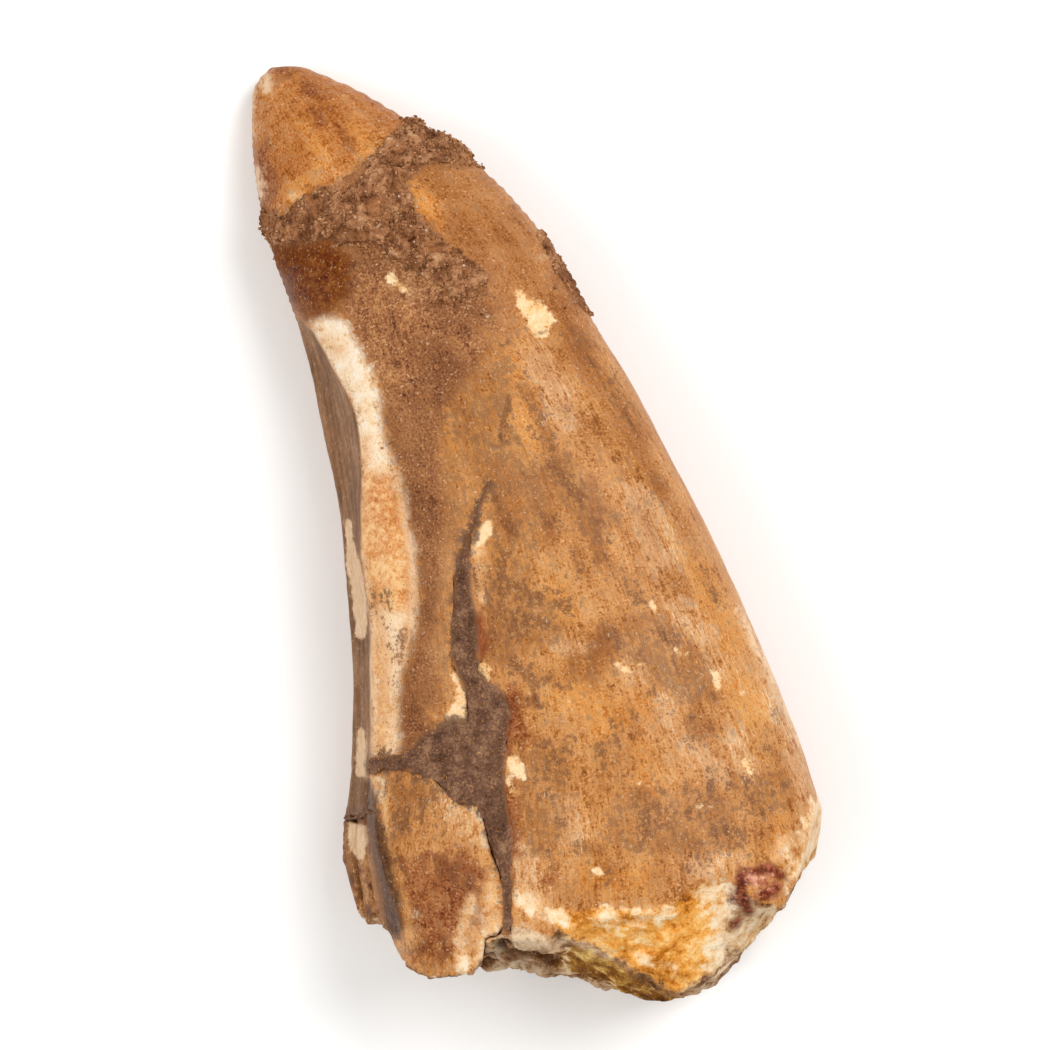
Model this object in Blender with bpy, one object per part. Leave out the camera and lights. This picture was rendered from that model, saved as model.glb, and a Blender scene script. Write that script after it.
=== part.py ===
"""A fossil tooth of a large meat-eating dinosaur, lying on its flatter, inner side.

Seen from above, the tip points to +Y and leans to -X, and the broken base is at -Y. The worn
front of the crown faces +Z. The crown is lofted through cross-sections that run from its mesial
edge (at +X) to its distal side (at -X), and then broken: one block tears off the base, one slab
and one chip are cracked away from its distal corner, and a groove holds the sediment between
them. Sand from the rock it lay in is still stuck across the crown below the tip.
"""

import math

import bmesh
import bpy
import numpy as np
from mathutils import Vector, noise

MM = 0.001

# Outline of the crown from above, in millimetres, from the tip to past the broken base.
MESIAL_EDGE = [(-22.8, 39.5), (-21.4, 39.8), (-17.5, 38.5), (-10.9, 34.8), (-2.4, 28.3), (4.3, 18.1),
               (11.2, 6.2), (17.8, -7.4), (23.1, -21.0), (25.0, -27.4), (26.2, -42.0)]
DISTAL_EDGE = [(-22.8, 39.5), (-24.0, 38.3), (-24.5, 35.1), (-24.0, 30.0), (-22.4, 23.2),
               (-20.0, 16.4), (-18.0, 7.8), (-16.4, -3.0), (-15.8, -11.0), (-15.9, -20.0),
               (-16.7, -27.0), (-16.2, -33.0), (-15.0, -42.0)]

# How far the front face stops short of the distal outline, as (y, inset): the side wall between.
SIDE_INSET = [(26.0, 0.25), (18.4, 0.3), (14.7, 1.6), (9.0, 2.7), (5.0, 2.6), (-2.5, 1.5),
              (-7.0, 1.9), (-19.6, 1.8), (-28.0, 3.6), (-36.0, 5.2)]

# Thickness is THICKNESS_GAIN * width ** THICKNESS_POWER, both in millimetres.
THICKNESS_GAIN = 1.25
THICKNESS_POWER = 0.77
MESIAL_HEIGHT = 0.42       # height of the mesial edge, as a share of the thickness
DISTAL_HEIGHT = 0.30       # height of the rear distal edge, as a share of the thickness
FRONT_FULLNESS = 0.84      # under 1 makes the front fuller than an ellipse
BACK_FULLNESS = 0.60       # the inner side is flatter still
SIDE_HOLLOW = 0.45         # how far the distal side wall is dished, in millimetres
VALLEY_DEPTH = 0.45        # shallow trough beside the distal ridge of the front
VALLEY_ACROSS = 0.80
GROOVE_SHARE = 0.22        # hollow along the inner side at the base, as a share of its depth

# The inner side arches off the table between the tip and the base.
ARCH = 1.3
ARCH_FROM = 0.09
ARCH_TO = 0.74
NOSE_RISE = 1.9
NOSE_LENGTH = 0.055
CONTACT_WEAR = 0.25        # what is worn flat where the tooth rests

CROWN_LENGTH = 100.0       # length of the longer edge, to space the cells of the crust by
STATIONS = 46
FRONT_STEPS = 20
SIDE_STEPS = 4
BACK_STEPS = 16
BEND = 0.28                # how far slow waves push the surface in and out, in millimetres
BEND_LENGTH = 9.0

# The broken base, as y over x: where the front face breaks off, the foot of the bevel below it,
# and the rim of the inner wall. The cut drops from one to the next at these depths.
FRONT_BREAK = [(-18.0, -27.0), (-16.5, -28.4), (-15.5, -31.8), (-14.4, -33.2), (-13.2, -33.0),
               (-11.5, -33.8), (0.6, -33.9), (2.2, -32.1), (9.6, -32.4), (12.6, -31.2), (15.6, -30.6),
               (17.6, -32.4), (20.6, -31.2), (22.2, -28.6), (22.9, -25.4), (24.4, -22.8), (27.0, -22.2)]
BEVEL_FOOT = [(-18.0, -27.2), (-16.5, -28.6), (-15.5, -32.0), (-14.4, -33.4), (-13.2, -33.2),
              (-11.5, -34.6), (-2.0, -35.0), (1.9, -34.9), (4.9, -35.3), (8.4, -37.1), (11.6, -38.6),
              (15.0, -37.6), (18.2, -34.4), (21.0, -30.8), (23.2, -28.2), (24.9, -26.6), (27.0, -26.0)]
BACK_BREAK = [(-18.0, -27.2), (-16.4, -28.8), (-15.4, -32.2), (-14.3, -33.6), (-12.7, -32.8),
              (-10.0, -35.3), (-4.6, -37.1), (1.7, -37.7), (4.4, -38.2), (7.4, -39.3), (10.5, -39.8),
              (14.8, -38.6), (17.3, -36.4), (19.6, -32.3), (21.4, -29.9), (23.2, -28.8), (24.8, -28.0),
              (27.0, -27.5)]
BEVEL_DEPTH = 3.4
BACK_DEPTH = 9.5
CAVITY_CENTRE = (2.0, 10.6)    # x and z of the hollow left by the pulp
CAVITY_HALF = (11.5, 3.6)
CAVITY_DEPTH = 3.8
CAVITY_BULGE = 0.45            # how unevenly the rim of the hollow runs
BREAK_REACH = (-0.6, 1.0)      # how far the bevel's slope runs on above and below it, as a share
BREAK_BLOCK = ((-20.0, 29.0), (-2.0, 26.0), -60.0)   # x and z it spans, and the y it ends at
BREAK_CELL = 1.15
BREAK_WAVES = [(0.75, 5.0), (0.55, 2.3), (0.30, 1.3)]   # height and length of its roughness
CALM = ((-15.0, 0.25), (-9.0, 1.0))    # the roughness fades towards the distal edge, as (x, share)
FRONT_AT_BASE = (4.2, 21.0, 21.0)   # middle, half width and height of the front face at the base
FRONT_ROUNDNESS = 2.4               # power of its outline: over 2 is squarer than an ellipse

# Pieces cracked off the distal corner of the base, and the groove between them, from above.
GAP = 0.32
FRONT_SLAB = [(-21.0, -20.3), (-10.3, -20.2), (-9.1, -20.6), (-7.3, -22.3), (-6.4, -23.1), (-5.5, -22.8),
              (-4.9, -23.1), (-4.0, -26.9), (-2.9, -29.9), (-2.9, -33.3), (-4.5, -33.9), (-4.8, -36.0),
              (-5.4, -36.8), (-7.0, -37.3), (-8.8, -37.4), (-10.1, -37.1), (-11.3, -36.2), (-12.0, -35.1),
              (-12.4, -33.8), (-21.0, -29.2)]
FRONT_SLAB_FLOOR = 10.0
REAR_CHIP = [(-21.0, -24.9), (-15.3, -25.0), (-14.0, -27.4), (-13.2, -30.0), (-12.8, -32.7),
             (-12.8, -36.0), (-21.0, -36.0)]
REAR_CHIP_TOP = 7.4
GROOVE = [(-7.1, -3.7), (-6.1, -3.7), (-5.5, -6.7), (-5.3, -11.5), (-4.9, -13.2), (-3.6, -13.3),
          (-2.6, -14.7), (-2.6, -17.5), (-3.0, -20.9), (-2.2, -26.0), (-2.1, -29.0), (-2.5, -30.6),
          (-3.1, -28.8), (-4.0, -26.3), (-4.9, -23.1), (-5.5, -22.8), (-6.4, -23.1), (-7.3, -22.3),
          (-9.1, -20.6), (-10.3, -20.2), (-10.9, -19.4), (-8.3, -18.5), (-6.5, -17.6), (-5.7, -16.2),
          (-6.0, -12.8), (-7.1, -11.5), (-7.1, -6.9)]
GROOVE_FLOOR = 12.8
SEDIMENT_SINK = 0.45

# Sand stuck to the crown, as outlines from above. It thins out to CRUST_EDGE at its border.
BAND_CRUST = [(-11.6, 34.0), (-10.9, 36.2), (-7.0, 35.6), (-3.4, 32.2), (-4.2, 30.6), (-9.2, 30.9),
              (-11.1, 29.5), (-11.0, 27.4), (-7.3, 23.5), (-4.4, 21.6), (-4.1, 19.7), (-5.8, 18.8),
              (-11.4, 22.2), (-13.4, 23.9), (-16.0, 24.3), (-20.2, 22.5), (-24.0, 21.6), (-25.5, 24.6),
              (-25.5, 27.8), (-21.5, 26.6), (-19.2, 28.6), (-16.4, 29.3), (-14.3, 31.4)]
MESIAL_CRUST = [(-0.6, 25.6), (1.9, 25.6), (5.6, 19.6), (4.3, 17.6), (2.7, 19.6), (0.9, 22.6)]
CRUST_CELL = 0.85
CRUST_STEPS = 34           # cells across the front of the crown
BAND_THICKNESS = 0.95
MESIAL_THICKNESS = 0.50
CRUST_EDGE = 0.18
CRUST_TAPER = 1.1
LUMP_MEAN = 0.62           # middle thickness of the crust, as a share
LUMPS = [(0.75, 1.7), (0.25, 0.7)]     # how much the lumps add to it, and how long they are
BORDER_ROUNDS = 3          # how often the border of the crust is evened out


def smooth_curve(points, samples=600):
    """A curve through the points, as arrays of arc-length share and of place."""
    p = np.array(points, float)
    knots = np.concatenate([[0.0], np.cumsum(np.linalg.norm(np.diff(p, axis=0), axis=1))])
    slopes = np.gradient(p, knots, axis=0)
    at = np.linspace(0.0, knots[-1], samples)
    i = np.clip(np.searchsorted(knots, at, side="right") - 1, 0, len(p) - 2)
    span = (knots[i + 1] - knots[i])[:, None]
    s = ((at - knots[i])[:, None]) / span
    place = ((2 * s**3 - 3 * s**2 + 1) * p[i] + (s**3 - 2 * s**2 + s) * span * slopes[i]
             + (3 * s**2 - 2 * s**3) * p[i + 1] + (s**3 - s**2) * span * slopes[i + 1])
    run = np.concatenate([[0.0], np.cumsum(np.linalg.norm(np.diff(place, axis=0), axis=1))])
    return run / run[-1], place


def along(curve, share):
    """The place at this share of the curve's length."""
    run, place = curve
    return np.array([np.interp(share, run, place[:, axis]) for axis in (0, 1)])


def table(points, at):
    """The value at this position, in a straight line between (position, value) pairs."""
    ordered = sorted(points)
    return float(np.interp(at, [p[0] for p in ordered], [p[1] for p in ordered]))


def ease(x):
    x = min(max(x, 0.0), 1.0)
    return x * x * (3.0 - 2.0 * x)


MESIAL_CURVE = smooth_curve(MESIAL_EDGE)
DISTAL_CURVE = smooth_curve(DISTAL_EDGE)


def rest_height(share):
    """Height of the lowest point of a cross-section over the table."""
    nose = NOSE_RISE * max(0.0, 1.0 - share / NOSE_LENGTH) ** 2
    arch = ARCH * math.sin(math.pi * min(max((share - ARCH_FROM) / (ARCH_TO - ARCH_FROM), 0.0), 1.0))
    return nose + arch


def section(share, front_steps=FRONT_STEPS, side_steps=SIDE_STEPS, back_steps=BACK_STEPS):
    """One ring of the crown: over the front, down the distal side wall and back underneath."""
    right, left = along(MESIAL_CURVE, share), along(DISTAL_CURVE, share)
    width = float(np.linalg.norm(left - right))
    thick = THICKNESS_GAIN * width**THICKNESS_POWER
    front = thick * (1.0 - 0.5 * (MESIAL_HEIGHT + DISTAL_HEIGHT))
    inset = min(table(SIDE_INSET, left[1]), 0.06 * width) if share < 0.3 else table(SIDE_INSET, left[1])
    valley = VALLEY_DEPTH * ease((share - 0.34) / 0.1) * ease((0.8 - share) / 0.1)
    groove = GROOVE_SHARE * ease((share - 0.5) / 0.35)

    def edge_height(across):
        return thick * (MESIAL_HEIGHT + (DISTAL_HEIGHT - MESIAL_HEIGHT) * across)

    ridge_angle = math.acos(2.0 * inset / width - 1.0)
    ring = []
    for k in range(front_steps):
        angle = ridge_angle * k / front_steps
        across = (1.0 - math.cos(angle)) / 2.0
        rise = front * math.sin(angle) ** FRONT_FULLNESS
        rise -= valley * math.exp(-(((across - VALLEY_ACROSS) / 0.07) ** 2))
        ring.append((across, edge_height(across) + rise))
    ridge = (1.0 - inset / width, edge_height(1.0) + front * math.sin(ridge_angle) ** FRONT_FULLNESS)
    foot = (1.0, edge_height(1.0))
    for k in range(side_steps):
        s = k / side_steps
        dish = SIDE_HOLLOW * math.sin(math.pi * s) * min(1.0, inset / 1.5) / width
        ring.append((ridge[0] + (foot[0] - ridge[0]) * s - dish, ridge[1] + (foot[1] - ridge[1]) * s))
    for k in range(back_steps):
        angle = math.pi * (1.0 - k / back_steps)
        across = (1.0 - math.cos(angle)) / 2.0
        depth = edge_height(across) * math.sin(angle) ** BACK_FULLNESS
        depth *= 1.0 - groove * math.exp(-(((across - 0.5) / 0.2) ** 2))
        ring.append((across, edge_height(across) - depth))
    lowest = min(z for _, z in ring)
    lift = rest_height(share) - lowest
    return [(*(right + (left - right) * across), z + lift) for across, z in ring]


def worn(point):
    """Bends the surface in slow waves, then wears flat what would reach below the table."""
    x, y, z = point
    wave = BEND * noise.noise(Vector((x, y, z)) / BEND_LENGTH)
    return Vector((x + wave, y, max(z + wave * ease((z - 2.0) / 6.0) - CONTACT_WEAR, 0.0)))


def crown_shares():
    """Where the rings lie: close together at the tip and evenly spaced down the crown."""
    return [((k + 0.35) / (STATIONS - 0.65)) ** 1.25 for k in range(STATIONS)]


def material(name, colour, roughness):
    made = bpy.data.materials.new(name)
    made.use_nodes = True
    shader = made.node_tree.nodes["Principled BSDF"]
    shader.inputs["Base Color"].default_value = (*colour, 1.0)
    shader.inputs["Roughness"].default_value = roughness
    shader.inputs["Metallic"].default_value = 0.0
    made.diffuse_color = (*colour, 1.0)
    return made


def add_object(name, mesh_builder, finish=None):
    """Makes an object from a bmesh in millimetres, with its faces pointing out."""
    mesh = bpy.data.meshes.new(name)
    bmesh.ops.recalc_face_normals(mesh_builder, faces=mesh_builder.faces)
    bmesh.ops.scale(mesh_builder, vec=(MM, MM, MM), verts=mesh_builder.verts)
    mesh_builder.to_mesh(mesh)
    mesh_builder.free()
    made = bpy.data.objects.new(name, mesh)
    bpy.context.scene.collection.objects.link(made)
    if finish:
        mesh.materials.append(finish)
    return made


def lofted_crown():
    """The whole crown before anything broke off, as a closed loft."""
    shape = bmesh.new()
    rings = [[shape.verts.new(worn(p)) for p in section(share)] for share in crown_shares()]
    around = len(rings[0])
    for upper, lower in zip(rings, rings[1:]):
        for k in range(around):
            shape.faces.new((upper[k], upper[(k + 1) % around], lower[(k + 1) % around], lower[k]))
    tip = shape.verts.new(sum((v.co for v in rings[0]), Vector()) / around
                          + Vector((-0.1, 0.18, 0.0)))
    for k in range(around):
        shape.faces.new((tip, rings[0][(k + 1) % around], rings[0][k]))
    shape.faces.new(rings[-1])
    return shape


def prism(name, outline, low, high):
    """A helper block with this outline from above."""
    shape = bmesh.new()
    floor = shape.faces.new([shape.verts.new((x, y, low)) for x, y in outline])
    raised = bmesh.ops.extrude_face_region(shape, geom=[floor])
    corners = [v for v in raised["geom"] if isinstance(v, bmesh.types.BMVert)]
    bmesh.ops.translate(shape, vec=(0.0, 0.0, high - low), verts=corners)
    return hide(add_object(name, shape))


def hide(helper):
    helper.hide_render = True
    helper.display_type = "WIRE"
    return helper


def grown(outline, by):
    """The outline moved outwards by this much, or inwards where it is negative."""
    p = [Vector(point) for point in outline]
    turn = sum(a.cross(b) for a, b in zip(p, p[1:] + p[:1]))
    out = 1.0 if turn > 0 else -1.0
    moved = []
    for k, corner in enumerate(p):
        before = (corner - p[k - 1]).normalized()
        after = (p[(k + 1) % len(p)] - corner).normalized()
        normal = Vector((before.y + after.y, -before.x - after.x)).normalized() * out
        reach = by / max(0.5, normal.dot(Vector((before.y, -before.x)) * out))
        moved.append(tuple(corner + normal * reach))
    return moved


def break_y(x, z):
    """How far down the crown it is still whole, at this x and height."""
    middle, half, height = FRONT_AT_BASE
    depth = height * max(0.0, 1.0 - abs((x - middle) / half) ** FRONT_ROUNDNESS) ** 0.5 - z
    first, foot, last = (table(line, x) for line in (FRONT_BREAK, BEVEL_FOOT, BACK_BREAK))
    y = first + (foot - first) * min(max(depth / BEVEL_DEPTH, BREAK_REACH[0]), BREAK_REACH[1])
    y += (last - foot) * ease((depth - BEVEL_DEPTH) / (BACK_DEPTH - BEVEL_DEPTH))
    here = Vector((x, 0.0, z))
    hollow = math.hypot((x - CAVITY_CENTRE[0]) / CAVITY_HALF[0], (z - CAVITY_CENTRE[1]) / CAVITY_HALF[1])
    hollow += CAVITY_BULGE * noise.noise(here / BREAK_WAVES[0][1])
    y += CAVITY_DEPTH * ease(1.6 * (1.0 - hollow))
    return y + table(CALM, x) * sum(size * noise.noise(here / length) for size, length in BREAK_WAVES)


def broken_base():
    """The block that tears off the base, with a rough face where it parts from the crown."""
    x_span, z_span, end = BREAK_BLOCK
    xs = np.arange(*x_span, BREAK_CELL)
    zs = np.arange(*z_span, BREAK_CELL)
    shape = bmesh.new()
    near = [[shape.verts.new((x, break_y(x, z), z)) for z in zs] for x in xs]
    far = [[shape.verts.new((x, end, z)) for z in zs] for x in xs]
    for sheet, step in ((near, 1), (far, -1)):
        for a, b in zip(sheet, sheet[1:]):
            for k in range(len(zs) - 1):
                shape.faces.new((a[k], b[k], b[k + 1], a[k + 1])[::step])
    rim = [(i, 0) for i in range(len(xs))]
    rim += [(len(xs) - 1, k) for k in range(1, len(zs))]
    rim += [(i, len(zs) - 1) for i in range(len(xs) - 2, -1, -1)]
    rim += [(0, k) for k in range(len(zs) - 2, 0, -1)]
    for (i, k), (m, n) in zip(rim, rim[1:] + rim[:1]):
        shape.faces.new((near[i][k], far[i][k], far[m][n], near[m][n]))
    return hide(add_object("broken_base_block", shape))


def cut(piece, helper, operation="DIFFERENCE"):
    change = piece.modifiers.new(helper.name, "BOOLEAN")
    change.operation = operation
    change.object = helper
    change.solver = "EXACT"
    return piece


def border_distance(outline, x, y):
    """Distance to the outline, positive inside it."""
    here, inside, nearest = Vector((x, y)), False, 1e9
    corners = [Vector(p) for p in outline]
    for a, b in zip(corners, corners[1:] + corners[:1]):
        run = b - a
        s = min(max((here - a).dot(run) / run.length_squared, 0.0), 1.0)
        nearest = min(nearest, (here - a - run * s).length)
        if (a.y > y) != (b.y > y) and x < a.x + (y - a.y) * (b.x - a.x) / (b.y - a.y):
            inside = not inside
    return nearest if inside else -nearest


def skin_patch(outline):
    """The part of the crown's skin inside the outline, as an open sheet with an even border."""
    ys = [y for _, y in outline]
    shares = [s for s in np.arange(0.01, 0.5, CRUST_CELL / CROWN_LENGTH)
              if min(along(MESIAL_CURVE, s)[1], along(DISTAL_CURVE, s)[1]) < max(ys) + 1.0
              and max(along(MESIAL_CURVE, s)[1], along(DISTAL_CURVE, s)[1]) > min(ys) - 1.0]
    shape = bmesh.new()
    rings = []
    for share in shares:
        ring = section(share, CRUST_STEPS, SIDE_STEPS + 1, CRUST_STEPS)
        over_the_edges = ring[-3:] + ring[:CRUST_STEPS + SIDE_STEPS + 2]
        rings.append([shape.verts.new(worn(p)) for p in over_the_edges])
    for upper, lower in zip(rings, rings[1:]):
        for k in range(len(upper) - 1):
            corners = (upper[k], upper[k + 1], lower[k + 1], lower[k])
            middle = sum((v.co for v in corners), Vector()) / 4.0
            if border_distance(outline, middle.x, middle.y) > 0.0:
                shape.faces.new(corners)
    bmesh.ops.delete(shape, geom=[v for v in shape.verts if not v.link_faces], context="VERTS")
    for _ in range(BORDER_ROUNDS):
        moved = {}
        for v in shape.verts:
            beside = [e.other_vert(v).co for e in v.link_edges if e.is_boundary]
            if len(beside) == 2:
                moved[v] = v.co * 0.5 + (beside[0] + beside[1]) * 0.25
        for v, place in moved.items():
            v.co = place
    shape.normal_update()
    return shape


def crust(name, outline, thickness, finish):
    """A patch of the crown's own skin, lifted off it by the gap and thickened into lumps."""
    shape = skin_patch(outline)
    weights = []
    lifted = [v.co + v.normal * GAP for v in shape.verts]
    for v, place in zip(shape.verts, lifted):
        inside = 0.0 if v.is_boundary else ease(border_distance(outline, place.x, place.y) / CRUST_TAPER)
        lump = LUMP_MEAN + sum(size * noise.noise(place / length) for size, length in LUMPS)
        weights.append(max(CRUST_EDGE / thickness, inside * lump))
    for v, place in zip(shape.verts, lifted):
        v.co = place * MM
    mesh = bpy.data.meshes.new(name)
    shape.to_mesh(mesh)
    shape.free()
    mesh.materials.append(finish)
    made = bpy.data.objects.new(name, mesh)
    bpy.context.scene.collection.objects.link(made)
    group = made.vertex_groups.new(name="thickness")
    for index, weight in enumerate(weights):
        group.add([index], min(weight, 1.0), "REPLACE")
    thicken = made.modifiers.new("thicken", "SOLIDIFY")
    thicken.thickness = thickness * MM
    thicken.offset = 1.0
    thicken.vertex_group = group.name
    return made


def box_middle(pieces):
    """The middle of the box round all the pieces, on the table."""
    graph = bpy.context.evaluated_depsgraph_get()
    places = []
    for piece in pieces:
        shaped = piece.evaluated_get(graph)
        places += [shaped.matrix_world @ v.co for v in shaped.to_mesh().vertices]
    middle = [(min(p[axis] for p in places) + max(p[axis] for p in places)) / 2.0 for axis in (0, 1)]
    return Vector((*middle, 0.0))


def main():
    for existing in list(bpy.data.objects):
        bpy.data.objects.remove(existing)
    enamel = material("stained_enamel", (0.42, 0.22, 0.08), 0.38)
    slab_enamel = material("slab_enamel", (0.45, 0.23, 0.09), 0.42)
    chip_enamel = material("chip_enamel", (0.30, 0.18, 0.08), 0.42)
    sediment = material("dark_sediment", (0.11, 0.07, 0.045), 0.85)
    sand = material("cemented_sand", (0.26, 0.16, 0.09), 0.92)

    base_block = broken_base()
    slab_block = prism("front_slab_block", FRONT_SLAB, FRONT_SLAB_FLOOR, 30.0)
    slab_room = prism("front_slab_room", grown(FRONT_SLAB, GAP), FRONT_SLAB_FLOOR - GAP, 31.0)
    chip_block = prism("rear_chip_block", REAR_CHIP, -3.0, REAR_CHIP_TOP)
    chip_room = prism("rear_chip_room", grown(REAR_CHIP, GAP), -4.0, REAR_CHIP_TOP + GAP)
    sediment_block = prism("sediment_block", grown(GROOVE, -GAP), GROOVE_FLOOR, 30.0)
    sediment_room = prism("sediment_room", GROOVE, GROOVE_FLOOR - GAP, 31.0)

    crown = add_object("crown", lofted_crown(), enamel)
    for helper in (base_block, slab_room, chip_room, sediment_room):
        cut(crown, helper)
    slab = add_object("base_slab_front", lofted_crown(), slab_enamel)
    cut(slab, slab_block, "INTERSECT")
    chip = add_object("base_chip_rear", lofted_crown(), chip_enamel)
    cut(chip, chip_block, "INTERSECT")
    cut(chip, base_block)
    filling = add_object("crack_sediment", lofted_crown(), sediment)
    filling.location.z = -SEDIMENT_SINK * MM
    cut(filling, sediment_block, "INTERSECT")
    band = crust("sand_crust_band", BAND_CRUST, BAND_THICKNESS, sand)
    edge = crust("sand_crust_edge", MESIAL_CRUST, MESIAL_THICKNESS, sand)

    pieces = (crown, slab, chip, filling, band, edge)
    rest = bpy.data.objects.new("tooth_at_rest", None)
    rest.location = -box_middle(pieces)
    for made in list(bpy.context.scene.collection.objects):
        made.parent = rest
        made.data.shade_smooth()
    bpy.context.scene.collection.objects.link(rest)


main()
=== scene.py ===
# %% [markdown]
# # A fossil tooth, carved and stained
# The solids give the tooth its size and main shape: a flattened, backward-curved crown with a broken
# base. This script gives it the look of the real thing. Every visible piece is a finer copy of a solid
# that is carved further, painted with marks and given a finish built from shader nodes.

# %% Load the solids
import math

import bmesh
import bpy
import numpy as np
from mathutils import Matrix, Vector, noise
from mathutils.bvhtree import BVHTree
from mathutils.kdtree import KDTree


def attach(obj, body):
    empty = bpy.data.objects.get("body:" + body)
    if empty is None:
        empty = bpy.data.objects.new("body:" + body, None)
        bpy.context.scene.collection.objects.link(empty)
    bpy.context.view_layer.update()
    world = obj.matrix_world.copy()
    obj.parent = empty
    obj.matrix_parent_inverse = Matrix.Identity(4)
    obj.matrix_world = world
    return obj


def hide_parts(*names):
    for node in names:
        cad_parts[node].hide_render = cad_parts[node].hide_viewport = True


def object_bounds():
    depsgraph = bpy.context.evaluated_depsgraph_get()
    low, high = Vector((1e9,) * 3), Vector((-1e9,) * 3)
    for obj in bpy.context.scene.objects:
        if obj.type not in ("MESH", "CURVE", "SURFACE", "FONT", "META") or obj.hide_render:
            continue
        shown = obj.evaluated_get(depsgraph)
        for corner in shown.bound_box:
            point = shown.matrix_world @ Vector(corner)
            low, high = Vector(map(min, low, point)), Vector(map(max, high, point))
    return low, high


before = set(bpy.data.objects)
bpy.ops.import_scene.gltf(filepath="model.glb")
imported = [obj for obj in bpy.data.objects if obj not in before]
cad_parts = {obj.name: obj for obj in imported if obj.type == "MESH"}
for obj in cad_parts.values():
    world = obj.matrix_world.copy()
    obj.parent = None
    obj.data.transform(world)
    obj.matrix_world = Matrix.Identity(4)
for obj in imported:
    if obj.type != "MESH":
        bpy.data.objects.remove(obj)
cad_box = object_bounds()
MM = 0.001
print("solids:", ", ".join(sorted(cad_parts)))

# %% [markdown]
# ## The camera
# The tooth lies on a table and is seen from straight above, through a long lens from half a metre. The
# camera comes first because the marks on the tooth are placed where the camera sees them: a picture
# place becomes a place on the surface by the same lens that takes the picture.

# %% Camera
PICTURE = (1058, 1050)
EYE = Vector((-0.559, 0.571, 508.0)) * MM
MIDDLE_HEIGHT = 8.0 * MM
PIXEL = 0.085 * MM
SENSOR = 36.0

camera = bpy.data.objects.new("camera", bpy.data.cameras.new("camera"))
bpy.context.scene.collection.objects.link(camera)
camera.location = EYE
camera.data.sensor_width = SENSOR
camera.data.lens = SENSOR * (EYE.z - MIDDLE_HEIGHT) / (PICTURE[0] * PIXEL)
camera.data.clip_start = 0.01
bpy.context.scene.camera = camera
print(f"lens {camera.data.lens:.0f} mm")


def in_picture(points):
    """Where the camera sees these points, in picture pixels from the top left."""
    reach = (EYE.z - MIDDLE_HEIGHT) / (EYE.z - points[:, 2]) / PIXEL
    across = PICTURE[0] / 2 + (points[:, 0] - EYE.x) * reach
    down = PICTURE[1] / 2 - (points[:, 1] - EYE.y) * reach
    return np.stack([across, down], axis=1)


def sight_line(x, y):
    """The direction from the camera through this place of the picture."""
    across, up = (x - PICTURE[0] / 2) * PIXEL, (PICTURE[1] / 2 - y) * PIXEL
    return Vector((across, up, MIDDLE_HEIGHT - EYE.z)).normalized()


# %% [markdown]
# ## Light and table
# Natural-history pictures are lit softly, so that the form shows without hard shadows. One wide panel
# stands above on the right, a weaker one on the left, and a pale sky fills the rest. The left wall of
# the tooth turns away from the main panel and lies in shade, which shows how thick the tooth is.


# %% Light panels and table
def panel(name, place, size, power):
    """A square light panel that faces the tooth."""
    light = bpy.data.lights.new(name, "AREA")
    light.shape = "SQUARE"
    light.size = size
    light.energy = power
    made = bpy.data.objects.new(name, light)
    bpy.context.scene.collection.objects.link(made)
    made.location = place
    made.rotation_euler = (Vector((0.0, 0.0, 0.01)) - Vector(place)).to_track_quat("-Z", "Y").to_euler()
    return made


panel("main_panel", (0.30, 0.22, 0.46), 0.34, 2.9)
panel("fill_panel", (-0.36, -0.10, 0.42), 0.40, 1.7)

sky = bpy.data.worlds.new("pale_sky")
sky.use_nodes = True
sky.node_tree.nodes["Background"].inputs["Color"].default_value = (1.0, 0.99, 0.97, 1.0)
sky.node_tree.nodes["Background"].inputs["Strength"].default_value = 0.52
bpy.context.scene.world = sky
bpy.context.scene.view_settings.view_transform = "Standard"

bpy.ops.object.select_all(action="DESELECT")
bpy.ops.mesh.primitive_plane_add(size=3.0, location=(0.0, 0.0, 0.0))
table = bpy.context.active_object
table.name = "table"
paper = bpy.data.materials.new("white_paper")
paper.use_nodes = True
paper.node_tree.nodes["Principled BSDF"].inputs["Base Color"].default_value = (0.93, 0.93, 0.925, 1.0)
paper.node_tree.nodes["Principled BSDF"].inputs["Roughness"].default_value = 0.9
table.data.materials.append(paper)
print("two light panels and a table")

# %% [markdown]
# ## Carving tools
# A solid's facets are too coarse for a close look. Each piece starts as a merged copy of its solid. A
# voxel remesh turns it into an even, fine skin, as a carver roughs out the form before the detail. The
# facets are then smoothed away, but not near the sharp edges of cracks and breaks, which stay crisp.


# %% Selecting, copying, modifying
def only(piece):
    """Selects this piece alone and makes it the active one."""
    bpy.ops.object.select_all(action="DESELECT")
    piece.select_set(True)
    bpy.context.view_layer.objects.active = piece


def rough_copy(node, name):
    """A merged copy of a solid, to carve; the solid itself stays as it is."""
    piece = bpy.data.objects.new(name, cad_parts[node].data.copy())
    bpy.context.scene.collection.objects.link(piece)
    piece.data.materials.clear()
    only(piece)
    bpy.ops.object.mode_set(mode="EDIT")
    bpy.ops.mesh.select_all(action="SELECT")
    bpy.ops.mesh.remove_doubles(threshold=1e-6)
    bpy.ops.mesh.normals_make_consistent(inside=False)
    bpy.ops.object.mode_set(mode="OBJECT")
    return piece


def modify(piece, kind, **settings):
    """Adds a modifier, sets it and applies it."""
    only(piece)
    step = piece.modifiers.new(kind.lower(), kind)
    for setting, value in settings.items():
        setattr(step, setting, value)
    bpy.ops.object.modifier_apply(modifier=step.name)


# %% Reading and weighing a skin
def places(piece):
    co = np.empty(len(piece.data.vertices) * 3, np.float32)
    piece.data.vertices.foreach_get("co", co)
    return co.reshape(-1, 3).astype(float)


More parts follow.
